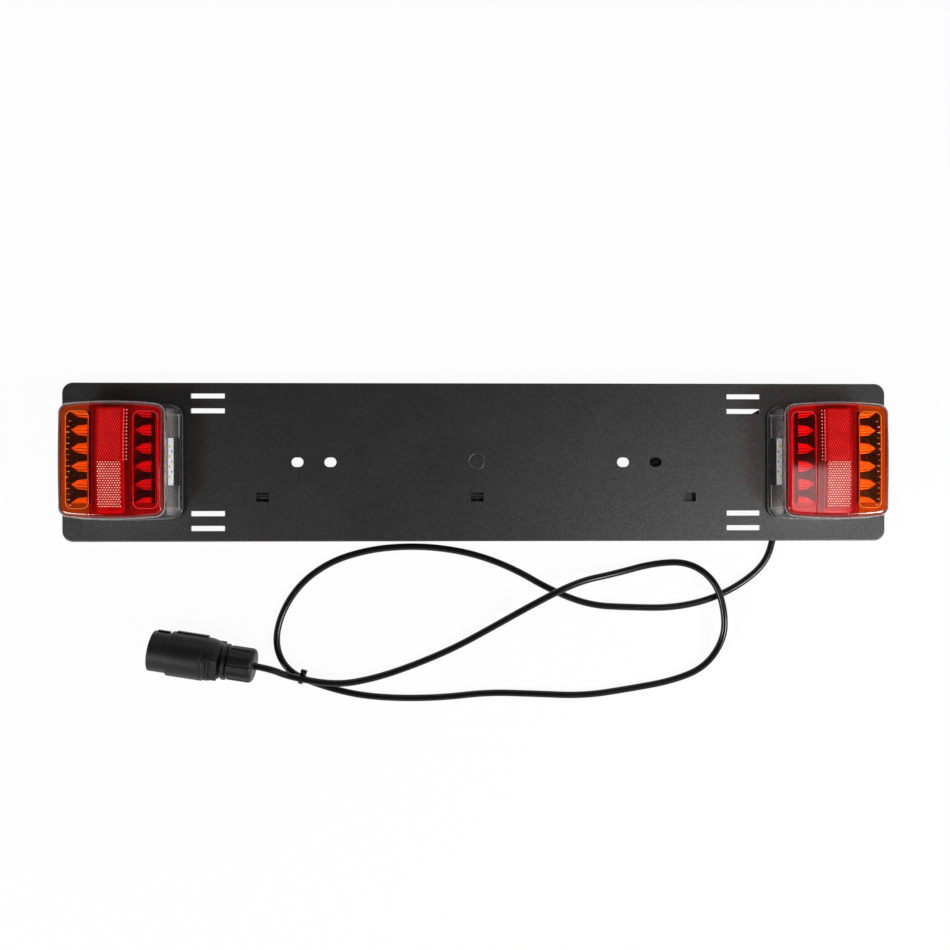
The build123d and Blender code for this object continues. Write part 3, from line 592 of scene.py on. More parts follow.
class Finishes:
    """Every finish on the board, named for what it covers."""

    panel = PanelMoulding(
        "panel_plastic", (0.004, 0.004, 0.0042), roughness=0.42, grain=1.9, grain_depth=0.07,
        mottling=0.15, gloss_spread=0.012, specular=1.0,
    )
    lamp_black = Moulding("lamp_base_plastic", (0.006, 0.006, 0.006), roughness=0.5, specular=0.3)
    gasket = Moulding("gasket_rubber", (0.016, 0.016, 0.017), roughness=0.75, grain=0.6, specular=0.3)
    boot = Moulding("boot_rubber", (0.018, 0.018, 0.019), roughness=0.62, grain=0.7, specular=0.35)
    clear = LensPlastic("clear_cover_plastic", (0.97, 0.975, 0.975), (0.8, 0.8, 0.8), haze=0.005)
    collar = LensPlastic("clear_rim_plastic", (0.9, 0.9, 0.9), (0.95, 0.95, 0.95), haze=0.12, roughness=0.06)
    red = LensPlastic("red_lens_plastic", (0.85, 0.012, 0.014), (0.95, 0.5, 0.48), haze=0.01, roughness=0.06)
    amber = LensPlastic("amber_lens_plastic", (1.0, 0.2, 0.012), (1.0, 0.78, 0.5), haze=0.01, roughness=0.06)
    reflex = ReflexPlastic("reflex_red_plastic", (0.6, 0.002, 0.003), roughness=0.08, specular=0.5)
    # The pale colours and the glow of the prism tips, beads and dashes are painted glints; the pale pips are
    # painted reflection.
    prism_tip = ReflexPlastic("prism_tip_plastic", (1.0, 0.55, 0.45), roughness=0.12, clear=0.0, glint=0.25)
    prism_ridge = ReflexPlastic(
        "prism_ridge_plastic", (1.0, 0.035, 0.03), roughness=0.15, clear=0.0, specular=0.3
    )
    bead = ReflexPlastic("bead_plastic", (1.0, 0.6, 0.58), roughness=0.12, clear=0.0, glint=0.25)
    dash = ReflexPlastic("dash_plastic", (1.0, 0.06, 0.06), roughness=0.15, clear=0.0, glint=0.15)
    pip = ReflexPlastic("pip_plastic", (1.0, 0.5, 0.36), roughness=0.12, clear=0.0)
    red_lip = ReflexPlastic("red_lip_plastic", (1.0, 0.06, 0.06), roughness=0.15, clear=0.0)
    amber_lip = ReflexPlastic("amber_lip_plastic", (0.9, 0.3, 0.06), roughness=0.15, clear=0.0)
    # The coat's colour holds painted highlights and painted shade.
    metallised = Metallising("metallised_coat")
    laminate = CircuitLaminate("circuit_laminate", (0.012, 0.013, 0.013), (0.05, 0.05, 0.045))
    amber_led = LedResin("amber_led_resin", (0.16, 0.13, 0.08))
    red_led = LedResin("red_led_resin", (0.16, 0.12, 0.11))
    strip = CircuitLaminate("white_strip_laminate", (0.80, 0.85, 0.90), (0.68, 0.72, 0.76), pitch=4.0)
    white_led = LedResin("white_led_resin", (0.85, 0.83, 0.32), clear=0.1)
    zinc = Metal("zinc_plated_steel", (0.72, 0.73, 0.74), roughness=0.28)
    lead = Moulding("lead_sheath", (0.014, 0.014, 0.014), roughness=0.36, grain=0.8, grain_depth=0.015)
    sleeve = Moulding("sleeve_shrink", (0.006, 0.006, 0.006), roughness=0.7, grain_depth=0.01, specular=0.1)
    cable = Moulding("cable_sheath", (0.004, 0.004, 0.0045), roughness=0.2, grain_depth=0.004, specular=0.3)
    nylon = Moulding("tie_nylon", (0.004, 0.004, 0.004), roughness=0.3, specular=0.3)
    plug = Moulding(
        "plug_plastic", (0.004, 0.004, 0.0045), roughness=0.44, grain=0.7, grain_depth=0.025, specular=0.32
    )
    insert = Moulding("insert_plastic", (0.03, 0.03, 0.031), roughness=0.45)
    brass = Metal("contact_brass", (0.82, 0.62, 0.28), roughness=0.25)


@dataclass(frozen=True)
class Layout:
    """How a small shape repeats. Lengths are millimetres and angles degrees."""

    columns: int = 1
    rows: int = 1
    column_pitch: float = 1.0
    row_pitch: float = 1.0
    lean: float = 0.0
    centre: Point = (0.0, 0.0, 0.0)
    side: int = 1
    dome_centre: Point = (0.0, 0.0, 0.0)
    dome_radius: float = 0.0
    turn: float = 0.0
    size_spread: float = 0.0
    place: Point = (0.0, 0.0, 0.0)
    facing: Point = (0.0, 0.0, 0.0)
    ring_radius: float = 0.0
    seed: int = 1


class RepeatTree:
    """Geometry nodes that set one small shape out in rows, or round a ring, and give it a finish.

    Each field of a layout has an input of the same name. Its default says which socket that is, and it is
    a length unless it has another unit here.
    """

    sockets: dict[type, str] = {
        int: "NodeSocketInt",
        float: "NodeSocketFloat",
        tuple: "NodeSocketVector",
        Piece: "NodeSocketObject",
        bpy.types.Material: "NodeSocketMaterial",
    }
    units: dict[str, float] = {
        "turn": math.radians(1.0),
        **dict.fromkeys(("columns", "rows", "side", "size_spread", "facing", "seed"), 1),
    }

    def __init__(self) -> None:
        """Build the tree and note the identifier of each input."""
        self.tree = bpy.data.node_groups.new("repeat_shape", "GeometryNodeTree")
        self.sheet = NodeSheet(self.tree)
        made = self.tree.interface.new_socket
        made(name="Geometry", in_out="OUTPUT", socket_type="NodeSocketGeometry")
        kinds = {"shape": Piece, "finish": bpy.types.Material}
        kinds.update((item.name, type(item.default)) for item in fields(Layout))
        self.keys = {
            name: made(name=name, in_out="INPUT", socket_type=self.sockets[kind]).identifier
            for name, kind in kinds.items()
        }
        self.given = self.sheet.add("NodeGroupInput").outputs
        self.build()

    def spot(self) -> tuple[Socket, Socket]:
        """Work out each copy's place and the way its foot faces.

        Returns:
            The place and the surface normal there.
        """
        sheet, given = self.sheet, self.given
        maths = sheet.maths
        index = sheet.add("GeometryNodeInputIndex").outputs[0]
        column = maths("FLOOR", maths("DIVIDE", index, given["rows"]))
        row = maths("SUBTRACT", index, maths("MULTIPLY", column, given["rows"]))
        first = maths("MULTIPLY", maths("SUBTRACT", given["columns"], 1.0), 0.5)
        last = maths("MULTIPLY", maths("SUBTRACT", given["rows"], 1.0), 0.5)
        leaned = maths("DIVIDE", maths("MULTIPLY", row, given["lean"]), given["column_pitch"])
        steps = maths("ADD", maths("SUBTRACT", column, first), maths("FRACT", leaned))
        centre = sheet.add("ShaderNodeSeparateXYZ", {0: given["centre"]}).outputs
        x = maths("MULTIPLY_ADD", steps, given["column_pitch"], centre["X"])
        y = maths("MULTIPLY_ADD", maths("SUBTRACT", row, last), given["row_pitch"], centre["Y"])
        x = maths("MULTIPLY", x, given["side"])
        dome = sheet.add("ShaderNodeSeparateXYZ", {0: given["dome_centre"]}).outputs
        off_x, off_y = maths("SUBTRACT", x, dome["X"]), maths("SUBTRACT", y, dome["Y"])
        flat = maths("MULTIPLY_ADD", off_x, off_x, maths("MULTIPLY", off_y, off_y))
        rest = maths("SUBTRACT", maths("MULTIPLY", given["dome_radius"], given["dome_radius"]), flat)
        rise = maths("SQRT", maths("MAXIMUM", rest, 0.0))
        domed = maths("GREATER_THAN", given["dome_radius"], 0.0)
        height = maths("MULTIPLY_ADD", domed, maths("ADD", rise, dome["Z"]), centre["Z"])
        turns = maths("MULTIPLY", maths("DIVIDE", column, given["columns"]), math.tau)
        ring_x = maths("MULTIPLY", maths("COSINE", turns), given["ring_radius"])
        ring_y = maths("MULTIPLY", maths("SINE", turns), given["ring_radius"])
        ring_z = maths("MULTIPLY", row, given["row_pitch"])
        ringed = maths("GREATER_THAN", given["ring_radius"], 0.0)
        rows_at = sheet.add("ShaderNodeCombineXYZ", {0: x, 1: y, 2: height}).outputs[0]
        ring_at = sheet.add("ShaderNodeCombineXYZ", {0: ring_x, 1: ring_y, 2: ring_z}).outputs[0]
        pick = {"Factor": ringed, 4: rows_at, 5: ring_at}
        at = sheet.add("ShaderNodeMix", pick, data_type="VECTOR").outputs[1]
        ends = {0: at, 1: given["dome_centre"]}
        outwards = sheet.add("ShaderNodeVectorMath", ends, operation="SUBTRACT").outputs[0]
        pick = {"Factor": domed, 4: (0.0, 0.0, 1.0), 5: outwards}
        normal = sheet.add("ShaderNodeMix", pick, data_type="VECTOR").outputs[1]
        return at, normal

    def build(self) -> None:
        """Join the places, the copies, the finish and the output."""
        sheet, given = self.sheet, self.given
        at, normal = self.spot()
        count = sheet.maths("MULTIPLY", given["columns"], given["rows"])
        points = sheet.add("GeometryNodePoints", {"Count": count})
        spread = sheet.add("GeometryNodeSetPosition", {"Geometry": points.outputs[0], "Position": at})
        shape = sheet.add("GeometryNodeObjectInfo", {"Object": given["shape"], "As Instance": True})
        own = sheet.add("ShaderNodeCombineXYZ", {2: given["turn"]}).outputs[0]
        own_turn = sheet.add("FunctionNodeEulerToRotation", {0: own}).outputs[0]
        stand = {"Rotation": own_turn, "Vector": normal}
        facing = sheet.add("FunctionNodeAlignRotationToVector", stand, axis="Z", pivot_axis="AUTO")
        small = sheet.maths("SUBTRACT", 1.0, given["size_spread"])
        large = sheet.maths("ADD", 1.0, given["size_spread"])
        size = sheet.add("FunctionNodeRandomValue", {2: small, 3: large, 8: given["seed"]})
        copies = {
            "Points": spread.outputs[0],
            "Instance": shape.outputs["Geometry"],
            "Rotation": facing.outputs[0],
            "Scale": size.outputs[1],
        }
        copied = sheet.add("GeometryNodeInstanceOnPoints", copies)
        moved = {"Geometry": copied.outputs[0], "Translation": given["place"], "Rotation": given["facing"]}
        set_down = sheet.add("GeometryNodeTransform", moved)
        solid = sheet.add("GeometryNodeRealizeInstances", {"Geometry": set_down.outputs[0]})
        dressed = {"Geometry": solid.outputs[0], "Material": given["finish"]}
        finished = sheet.add("GeometryNodeSetMaterial", dressed)
        sheet.add("NodeGroupOutput", {"Geometry": finished.outputs[0]})

    def lay(self, name: str, shape: Mesh, finish: Finish, slot: str, layout: Layout) -> Piece:
        """Repeat a shape and keep the result as one plain piece.

        Args:
            name: the piece's name.
            shape: the small shape, about the origin, in metres.
            finish: what it is made of.
            slot: the record's material slot.
            layout: how it repeats.

        Returns:
            The finished piece, riding on the board.
        """
        source = bpy.data.objects.new(name + "_shape", shape)
        bpy.context.scene.collection.objects.link(source)
        host = bpy.data.objects.new(name, bpy.data.meshes.new(name))
        bpy.context.scene.collection.objects.link(host)
        step = host.modifiers.new("repeat", "NODES")
        step.node_group = self.tree
        step[self.keys["shape"]] = source
        step[self.keys["finish"]] = finish.material()
        for key, value in vars(layout).items():
            unit = self.units.get(key, MM)
            step[self.keys[key]] = [c * unit for c in value] if isinstance(value, tuple) else value * unit
        depsgraph = bpy.context.evaluated_depsgraph_get()
        result = bpy.data.meshes.new_from_object(host.evaluated_get(depsgraph))
        host.modifiers.remove(step)
        host.data = result
        result.name = name
        bpy.data.objects.remove(source)
        return settle(host, slot)


def settle(piece: Piece, slot: str) -> Piece:
    """Ride a finished piece on the board.

    Args:
        piece: the finished object.
        slot: not used.

    Returns:
        The same object.
    """
    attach(piece, "root")
    log.info("piece %s", piece.name)
    return piece


def mesh_of(name: str, corners: Sequence[Point], faces: Faces) -> Mesh:
    """A mesh from corners in millimetres, with its faces turned outwards.

    Args:
        name: the mesh's name.
        corners: its points.
        faces: the corner numbers of each face.

    Returns:
        The mesh.
    """
    mesh = bpy.data.meshes.new(name)
    mesh.from_pydata([[c * MM for c in corner] for corner in corners], [], faces)
    shell = bmesh.new()
    shell.from_mesh(mesh)
    bmesh.ops.remove_doubles(shell, verts=shell.verts, dist=1e-7)
    bmesh.ops.recalc_face_normals(shell, faces=shell.faces)
    shell.to_mesh(mesh)
    shell.free()
    return mesh


def skin(rings: int, count: int, comes_round: bool, closed: bool) -> Faces:
    """Faces between neighbouring rings of corners.

    Args:
        rings: how many rings there are.
        count: corners in each ring.
        comes_round: whether the last ring joins the first.
        closed: whether each ring joins its own ends.

    Returns:
        The corner numbers of each face.
    """
    faces = []
    for step in range(rings if comes_round else rings - 1):
        here, there = step * count, (step + 1) % rings * count
        for span in range(count if closed else count - 1):
            after = (span + 1) % count
            faces.append((here + span, there + span, there + after, here + after))
    return faces


def capped_skin(rings: int, count: int) -> Faces:
    """Faces of a closed body through rings of corners, with a face over each end.

    Args:
        rings: how many rings there are.
        count: corners in each ring.

    Returns:
        The corner numbers of each face.
    """
    last = (rings - 1) * count
    ends = [tuple(range(count)), tuple(range(last, last + count))]
    return skin(rings, count, comes_round=False, closed=True) + ends


def turned_shape(name: str, profile: Sequence[Pair], steps: int, closed: bool = False) -> Mesh:
    """A shape turned about Z from a profile of radius and height.

    Args:
        name: the mesh's name.
        profile: radius and height of each point, in millimetres.
        steps: faces round the shape.
        closed: whether the profile's ends join, as on a ring.

    Returns:
        The mesh.
    """
    corners = []
    for step in range(steps):
        angle = math.tau * step / steps
        corners += [(r * math.cos(angle), r * math.sin(angle), z) for r, z in profile]
    return mesh_of(name, corners, skin(steps, len(profile), comes_round=True, closed=closed))


def swept_ring(name: str, path: Sequence[Edge], profile: Sequence[Pair]) -> Mesh:
    """A closed ring with one section along a flat outline.

    Args:
        name: the mesh's name.
        path: each outline point and the way outwards there, in millimetres.
        profile: the section as distance outwards and height.

    Returns:
        The mesh.
    """
    corners = [
        (spot.x + out.x * reach, spot.y + out.y * reach, spot.z + height)
        for spot, out in path
        for reach, height in profile
    ]
    return mesh_of(name, corners, skin(len(path), len(profile), comes_round=True, closed=True))


def block(name: str, layers: Sequence[Point]) -> Mesh:
    """A closed block with a rectangle at each layer.

    Args:
        name: the mesh's name.
        layers: half width, half length and height of each layer, from the foot up.

    Returns:
        The mesh.
    """
    corners = [(x * wide, y * deep, z) for wide, deep, z in layers for x, y in QUARTERS]
    return mesh_of(name, corners, capped_skin(len(layers), len(QUARTERS)))


def smooth(mesh: Mesh) -> Mesh:
    """Shade a rounded mesh smoothly."""
    mesh.polygons.foreach_set("use_smooth", [True] * len(mesh.polygons))
    return mesh


def piece_from(mesh: Mesh, finish: Finish, slot: str) -> Piece:
    """Make a mesh a finished piece.

    Args:
        mesh: its shape, in place.
        finish: what it is made of.
        slot: the record's material slot.

    Returns:
        The piece.
    """
    piece = bpy.data.objects.new(mesh.name, mesh)
    bpy.context.scene.collection.objects.link(piece)
    mesh.materials.append(finish.material())
    return settle(piece, slot)


def dress(finish: Finish, *names: str) -> None:
    """Give solids of the frame their finish.

    Args:
        finish: what they are made of.
        names: the nodes' names.
    """
    for name in names:
        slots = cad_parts[name].data.materials
        slots.clear()
        slots.append(finish.material())
        log.info("dressed %s in %s", name, finish.name)


@dataclass
class Board:
    """The moulded panel with what the mould left on its back."""

    repeat: RepeatTree
    mark_radius: float = 3.5
    mark_drop: float = 0.15
    back_height: float = 13.0
    mark_columns: int = 9
    mark_pitch: float = 56.0
    mark_rows: Pair = (24.0, -8.0)

    def build(self) -> None:
        """Dress the panel and add the ejector marks."""
        dress(Finishes.panel, "board_panel")
        self.ejector_marks()

    def ejector_marks(self) -> None:
        """Low round marks in two rows behind the panel."""
        radius, drop = self.mark_radius, self.mark_drop
        rim = [(TOP, -drop), (radius - 0.3, -drop), (radius, -drop * 0.4), (radius, 0.2), (TOP, 0.2)]
        shape = turned_shape("ejector_mark", rim, 20)
        middle = (self.mark_rows[0] + self.mark_rows[1]) / 2
        layout = Layout(
            columns=self.mark_columns, rows=2, column_pitch=self.mark_pitch,
            row_pitch=self.mark_rows[0] - self.mark_rows[1], centre=(0.0, middle, self.back_height),
        )
        self.repeat.lay("ejector_marks", shape, Finishes.panel, "board", layout)


@dataclass(frozen=True)
class ArchedOutline:
    """A lamp's outline: straight ends, bowed top and bottom, round corners; millimetres."""

    inner: float
    outer: float
    half_mid: float
    half_end: float
    corner: float
    arc_steps: int = 10

    @property
    def middle(self) -> float:
        """Distance of its middle from the board's middle."""
        return (self.inner + self.outer) / 2

    def quarter(self) -> list[Edge]:
        """The upper outer quarter, from the straight end to the middle of the top.

        Returns:
            Each point from the outline's middle, and the way outwards there.
        """
        reach = (self.outer - self.inner) / 2
        rise = self.half_mid - self.half_end
        bow = (reach**2 + rise**2) / (2 * rise)
        bow_y = self.half_mid - bow
        corner_x = reach - self.corner
        corner_y = bow_y + math.sqrt((bow - self.corner) ** 2 - corner_x**2)
        lean = math.atan2(corner_y - bow_y, corner_x)
        arcs = (
            (Vector((corner_x, corner_y, 0.0)), self.corner, 0.0, lean),
            (Vector((0.0, bow_y, 0.0)), bow, lean, math.pi / 2),
        )
        spots = []
        for centre, radius, start, end in arcs:
            for step in range(self.arc_steps):
                angle = start + (end - start) * step / self.arc_steps
                out = Vector((math.cos(angle), math.sin(angle), 0.0))
                spots.append((centre + out * radius, out))
        return spots

    def points(self, side: Side) -> list[Edge]:
        """The whole outline on one lamp.

        Args:
            side: which lamp.

        Returns:
            Each point and the way outwards there, in millimetres.
        """
        centre = Vector((side.value * self.middle, 0.0, 0.0))
        loop = []
        for x, y in QUARTERS:
            flip = Vector((x, y, 1.0))
            turned = [(centre + spot * flip, out * flip) for spot, out in self.quarter()]
            loop += turned if x == y else turned[::-1]
        return loop


@dataclass
class RearLamp:
    """One rear lamp: lens, reflex reflector, metallised optics and number-plate light; millimetres."""

    repeat: RepeatTree
    side: Side
    lens: ArchedOutline = ArchedOutline(285.1, 380.5, 53.5, 50.5, 9.0)
    skirt: ArchedOutline = ArchedOutline(276.0, 383.0, 54.5, 52.5, 11.0)
    foot_height: float = 20.5
    collar_bottom: float = 45.0
    collar_top: float = 48.6
    collar_wall: float = 0.8
    dome_base: float = -444.0
    lens_radius: float = 500.0
    amber_window: Pair = (351.4, 372.4)
    red_window: Pair = (289.6, 311.4)
    window_half: float = 44.2
    window_corner: float = 5.6
    corner_steps: int = 6
    pip_middle: Pair = (369.0, -3.0)
    pip_radius: float = 499.2
    field_radius: float = 501.25
    tip_middle: Pair = (331.61, -22.2)
    ridge_middle: Pair = (331.1, 22.55)
    ridge_slant: float = 27.0
    band_radius: float = 501.2
    dot_middle: Pair = (316.5, 22.6)
    dash_middle: Pair = (319.2, 22.6)
    bead_count: int = 15
    bead_pitch: float = 3.2
    land_height: float = 48.0
    column_centre: float = 335.125
    column_pitch: float = 57.65
    cup_pitch: float = 16.5
    cup_shift: float = 2.4
    cup_count: int = 5
    stud_offset: float = 7.2
    fan_sections: tuple[Pair, ...] = ((4.6, 0.3), (-1.0, 4.2), (-9.6, 5.2))
    fan_rise: float = 0.6
    fan_full: float = 3.0
    resistor_middle: Point = (285.6, 0.0, 25.2)
    bolt_place: Point = (316.0, 32.0, 3.5)
    bolt_ring: float = 0.0001

    @property
    def dome_centre(self) -> Point:
        """Centre of the sphere that the lens front lies on."""
        return (self.side.value * self.lens.middle, 0.0, self.dome_base)

    def name(self, part: str) -> str:
        """A piece's name with this lamp's side in front."""
        return f"{self.side.prefix}_{part}"

    def spread(self, part: str, shape: Mesh, finish: Finish, slot: str, **layout: Any) -> None:
        """Repeat a small shape on this lamp.

        Args:
            part: the piece's name without the side.
            shape: the small shape, about the origin, in metres.
            finish: what it is made of.
            slot: the record's material slot.
            layout: how it repeats, apart from what every layout of the lamp shares.
        """
        whole = Layout(side=self.side.value, dome_centre=self.dome_centre, **layout)
        self.repeat.lay(self.name(part), shape, finish, slot, whole)

    def build(self) -> None:
        """Dress the lamp's solids and add its optics and trim."""
        self.dress_solids()
        self.lens_collar()
        self.cover_foot()
        self.window_lips()
        self.prism_tips()
        self.prism_ridges()
        self.bead_lines()
        self.land_fans()
        self.tip_studs()
        self.window_pips()
        self.strip_resistors()
        self.bolt_threads()

    def dress_solids(self) -> None:
        """Give each of the lamp's solids its finish."""
        worn = {
            "lamp_gasket": Finishes.gasket,
            "lamp_base": Finishes.lamp_black,
            "lamp_clear_cover": Finishes.clear,
            "lamp_red_lens": Finishes.red,
            "lamp_amber_lens": Finishes.amber,
            "lamp_reflex_reflector": Finishes.reflex,
            "lamp_circuit_board": Finishes.laminate,
            "lamp_reflector": Finishes.metallised,
            "lamp_amber_leds": Finishes.amber_led,
            "lamp_red_leds": Finishes.red_led,
            "plate_light_strip": Finishes.strip,
            "plate_light_leds": Finishes.white_led,
            "lamp_bolts": Finishes.zinc,
            "lamp_washers": Finishes.zinc,
            "lamp_nuts": Finishes.zinc,
        }
        for part, finish in worn.items():
            dress(finish, self.name(part))

    def lens_collar(self) -> None:
        """The clear lip of the cover that holds the lens's edge, thinner at the ends."""
        low, top, wall = self.collar_bottom, self.collar_top, self.collar_wall
        section = [(0.03, low), (wall, low), (wall, top - 0.4), (wall - 0.4, top)]
        section += [(0.3, top), (0.03, top - 0.3)]
        path = [(spot, out * (0.4 + 0.3 * abs(out.y))) for spot, out in self.lens.points(self.side)]
        mesh = swept_ring(self.name("lens_collar"), path, section)
        piece_from(smooth(mesh), Finishes.collar, "clear_plastic")

    def cover_foot(self) -> None:
        """The fine bead round the foot of the clear cover."""
        low = self.foot_height
        section = [(-0.3, low), (0.3, low), (0.3, low + 0.5), (0.0, low + 0.8), (-0.3, low + 0.6)]
        mesh = swept_ring(self.name("cover_foot_bead"), self.skirt.points(self.side), section)
        piece_from(smooth(mesh), Finishes.collar, "clear_plastic")

    def window_path(self, window: Pair) -> list[Edge]:
        """A rounded rectangle that lies on the lens front.

        Args:
            window: its inner and outer edge from the board's middle.

        Returns:
            Each point and the way outwards there.
        """
        centre = Vector(self.dome_centre)
        middle, corner = self.side.value * sum(window) / 2, self.window_corner
        reach, rise = (window[1] - window[0]) / 2 - corner, self.window_half - corner
        path = []
        for turn, (x, y) in enumerate(QUARTERS):
            for step in range(self.corner_steps + 1):
                angle = math.pi / 2 * (turn + step / self.corner_steps)
                out = Vector((math.cos(angle), math.sin(angle), 0.0))
                flat = Vector((middle + x * reach, y * rise, 0.0)) + out * corner
                off = flat - Vector((centre.x, centre.y, 0.0))
                height = centre.z + math.sqrt(self.lens_radius**2 - off.length_squared)
                path.append((flat + Vector((0.0, 0.0, height)), out))
        return path

    def window_lips(self) -> None:
        """A fine raised lip round each LED window of the lens."""
        section = [(-0.3, -0.1), (-0.2, 0.16), (0.2, 0.16), (0.3, -0.1)]
        for part, window, finish, slot in (
            ("amber_window_lip", self.amber_window, Finishes.amber_lip, "amber_lens"),
            ("red_window_lip", self.red_window, Finishes.red_lip, "red_lens"),
        ):
            piece_from(swept_ring(self.name(part), self.window_path(window), section), finish, slot)

    def prism_tips(self) -> None:
        """Staggered pale tips in the lower field of the reflex reflector, painted glints of its prisms."""
        tip = [(0.58, FOOT), (0.58, 0.02), (0.42, 0.14), (TOP, 0.2)]
        self.spread(
            "prism_tips", smooth(turned_shape("prism_tip", tip, 8)), Finishes.prism_tip, "reflex_red",
            columns=9, rows=20, column_pitch=2.36, row_pitch=2.12, lean=1.18,
            centre=(*self.tip_middle, 0.0), dome_radius=self.field_radius, size_spread=0.12, seed=13,
        )

    def prism_ridges(self) -> None:
        """Slanting ridges in the upper field, each line made of short ridges end to end."""
        self.spread(
            "prism_ridges", block("prism_ridge", [(0.68, 0.42, FOOT), (0.68, 0.0, 0.05)]),
            Finishes.prism_ridge, "reflex_red", columns=9, rows=42, column_pitch=2.2, row_pitch=1.1,
            lean=-0.55, centre=(*self.ridge_middle, 0.0), dome_radius=self.field_radius,
            turn=90.0 + self.side.value * self.ridge_slant,
        )

    def bead_lines(self) -> None:
        """A line of beads and a line of dashes on the raised band, beside the upper field; the beads' pale
        colour and the glow of both are painted glints.
        """
        bead = [(0.52, FOOT), (0.52, 0.05), (0.36, 0.17), (TOP, 0.22)]
        dot = smooth(turned_shape("band_bead", bead, 8))
        dash = block("band_dash", [(0.7, 1.2, FOOT), (0.35, 0.84, 0.18)])
        for part, shape, finish, middle in (
            ("band_dots", dot, Finishes.bead, self.dot_middle),
            ("band_dashes", dash, Finishes.dash, self.dash_middle),
        ):
            self.spread(
                part, shape, finish, "red_lens", rows=self.bead_count, row_pitch=self.bead_pitch,
                centre=(*middle, 0.0), dome_radius=self.band_radius,
            )

    def land_fans(self) -> None:
        """Fluted fans on the lands between the cups, leaf-shaped and widening inwards from each tip."""
        low, high = 0.05, self.fan_rise
        flutes = [(0.0, FOOT), (0.0, low), (0.25, high), (0.5, low), (0.75, high), (1.0, low), (1.0, FOOT)]
        shell = capped_skin(len(self.fan_sections), len(flutes))
        corners: list[Point] = []
        faces: Faces = []
        for sign in (1, -1):
            faces += [tuple(len(corners) + corner for corner in face) for face in shell]
            for x, half in self.fan_sections:
                for share, height in flutes:
                    y = sign * (self.cup_pitch / 2 - share * half)
                    corners.append((self.side.value * x, y, min(height, height * half / self.fan_full)))
        self.spread(
            "land_fans", mesh_of("land_fan", corners, faces), Finishes.metallised, "metallised",
            columns=2, rows=self.cup_count, column_pitch=self.column_pitch, row_pitch=self.cup_pitch,
            centre=(self.column_centre, self.cup_shift, self.land_height),
        )

    def tip_studs(self) -> None:
        """Small staking studs at the tips of the lands."""
        stud = [(0.75, FOOT), (0.75, 0.35), (0.5, 0.65), (TOP, 0.75)]
        self.spread(
            "tip_studs", smooth(turned_shape("tip_stud", stud, 10)), Finishes.metallised, "metallised",
            columns=2, rows=self.cup_count - 1, column_pitch=self.column_pitch, row_pitch=self.cup_pitch,
            centre=(self.column_centre + self.stud_offset, self.cup_shift, self.land_height),
            size_spread=0.1, seed=18,
        )

    def window_pips(self) -> None:
        """Small pale pips along the outer edge of the amber window, painted reflection: specks of light
        reflected by the lens.
        """
        pip = [(0.42, FOOT), (0.42, 0.05), (0.28, 0.16), (TOP, 0.2)]
        self.spread(
            "window_pips", smooth(turned_shape("window_pip", pip, 8)), Finishes.pip, "amber_lens",
            columns=2, rows=16, column_pitch=1.5, row_pitch=5.1, lean=0.9,
            centre=(*self.pip_middle, 0.0), dome_radius=self.pip_radius, size_spread=0.55, seed=21,
        )

    def strip_resistors(self) -> None:
        """Small resistors beside the LEDs of the number-plate light."""
        shape = block("strip_resistor", [(0.5, 0.85, FOOT), (0.5, 0.85, 0.4), (0.4, 0.75, 0.5)])
        places = {"rows": 3, "row_pitch": 9.5, "centre": self.resistor_middle}
        self.spread("strip_resistors", shape, Finishes.laminate, "circuit_board", **places)

    def bolt_threads(self) -> None:
        """Thread turns on the bolt ends that stand out of the nuts, stacked by a ring of no width."""
        shape = turned_shape("thread_turn", [(2.9, -0.4), (3.22, 0.0), (2.9, 0.4)], 20, closed=True)
        turns = {"rows": 3, "row_pitch": 0.95, "ring_radius": self.bolt_ring}
        x, y, z = self.bolt_place
        for end, sign in (("upper", 1), ("lower", -1)):
            place = (self.side.value * x, sign * y, z)
            self.spread(f"{end}_bolt_thread", shape, Finishes.zinc, "zinc_steel", place=place, **turns)


@dataclass
class CableRun:
    """One round cable on a smooth line; points are millimetres."""

    name: str
    node: str
    diameter: float
    points: Sequence[Point]
    finish: Finish
    slot: str
    facets: int = 5
    steps: int = 14

    def build(self) -> Piece:
        """Make the cable as a curve that stands for its solid.

        Returns:
            The cable.
        """
        curve = bpy.data.curves.new(self.name, "CURVE")
        curve.dimensions = "3D"
        curve.bevel_depth = self.diameter / 2 * MM
        curve.bevel_resolution = self.facets
        curve.use_fill_caps = True
        spline = curve.splines.new("NURBS")
        spline.points.add(len(self.points) - 1)
        for spot, point in zip(spline.points, self.points):
            spot.co = (*(c * MM for c in point), 1.0)
        spline.order_u = 3
        spline.use_endpoint_u = True
        spline.resolution_u = self.steps
        curve.materials.append(self.finish.material())
        cable = bpy.data.objects.new(self.name, curve)
        bpy.context.scene.collection.objects.link(cable)
        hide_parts(self.node)
        return settle(cable, self.slot)


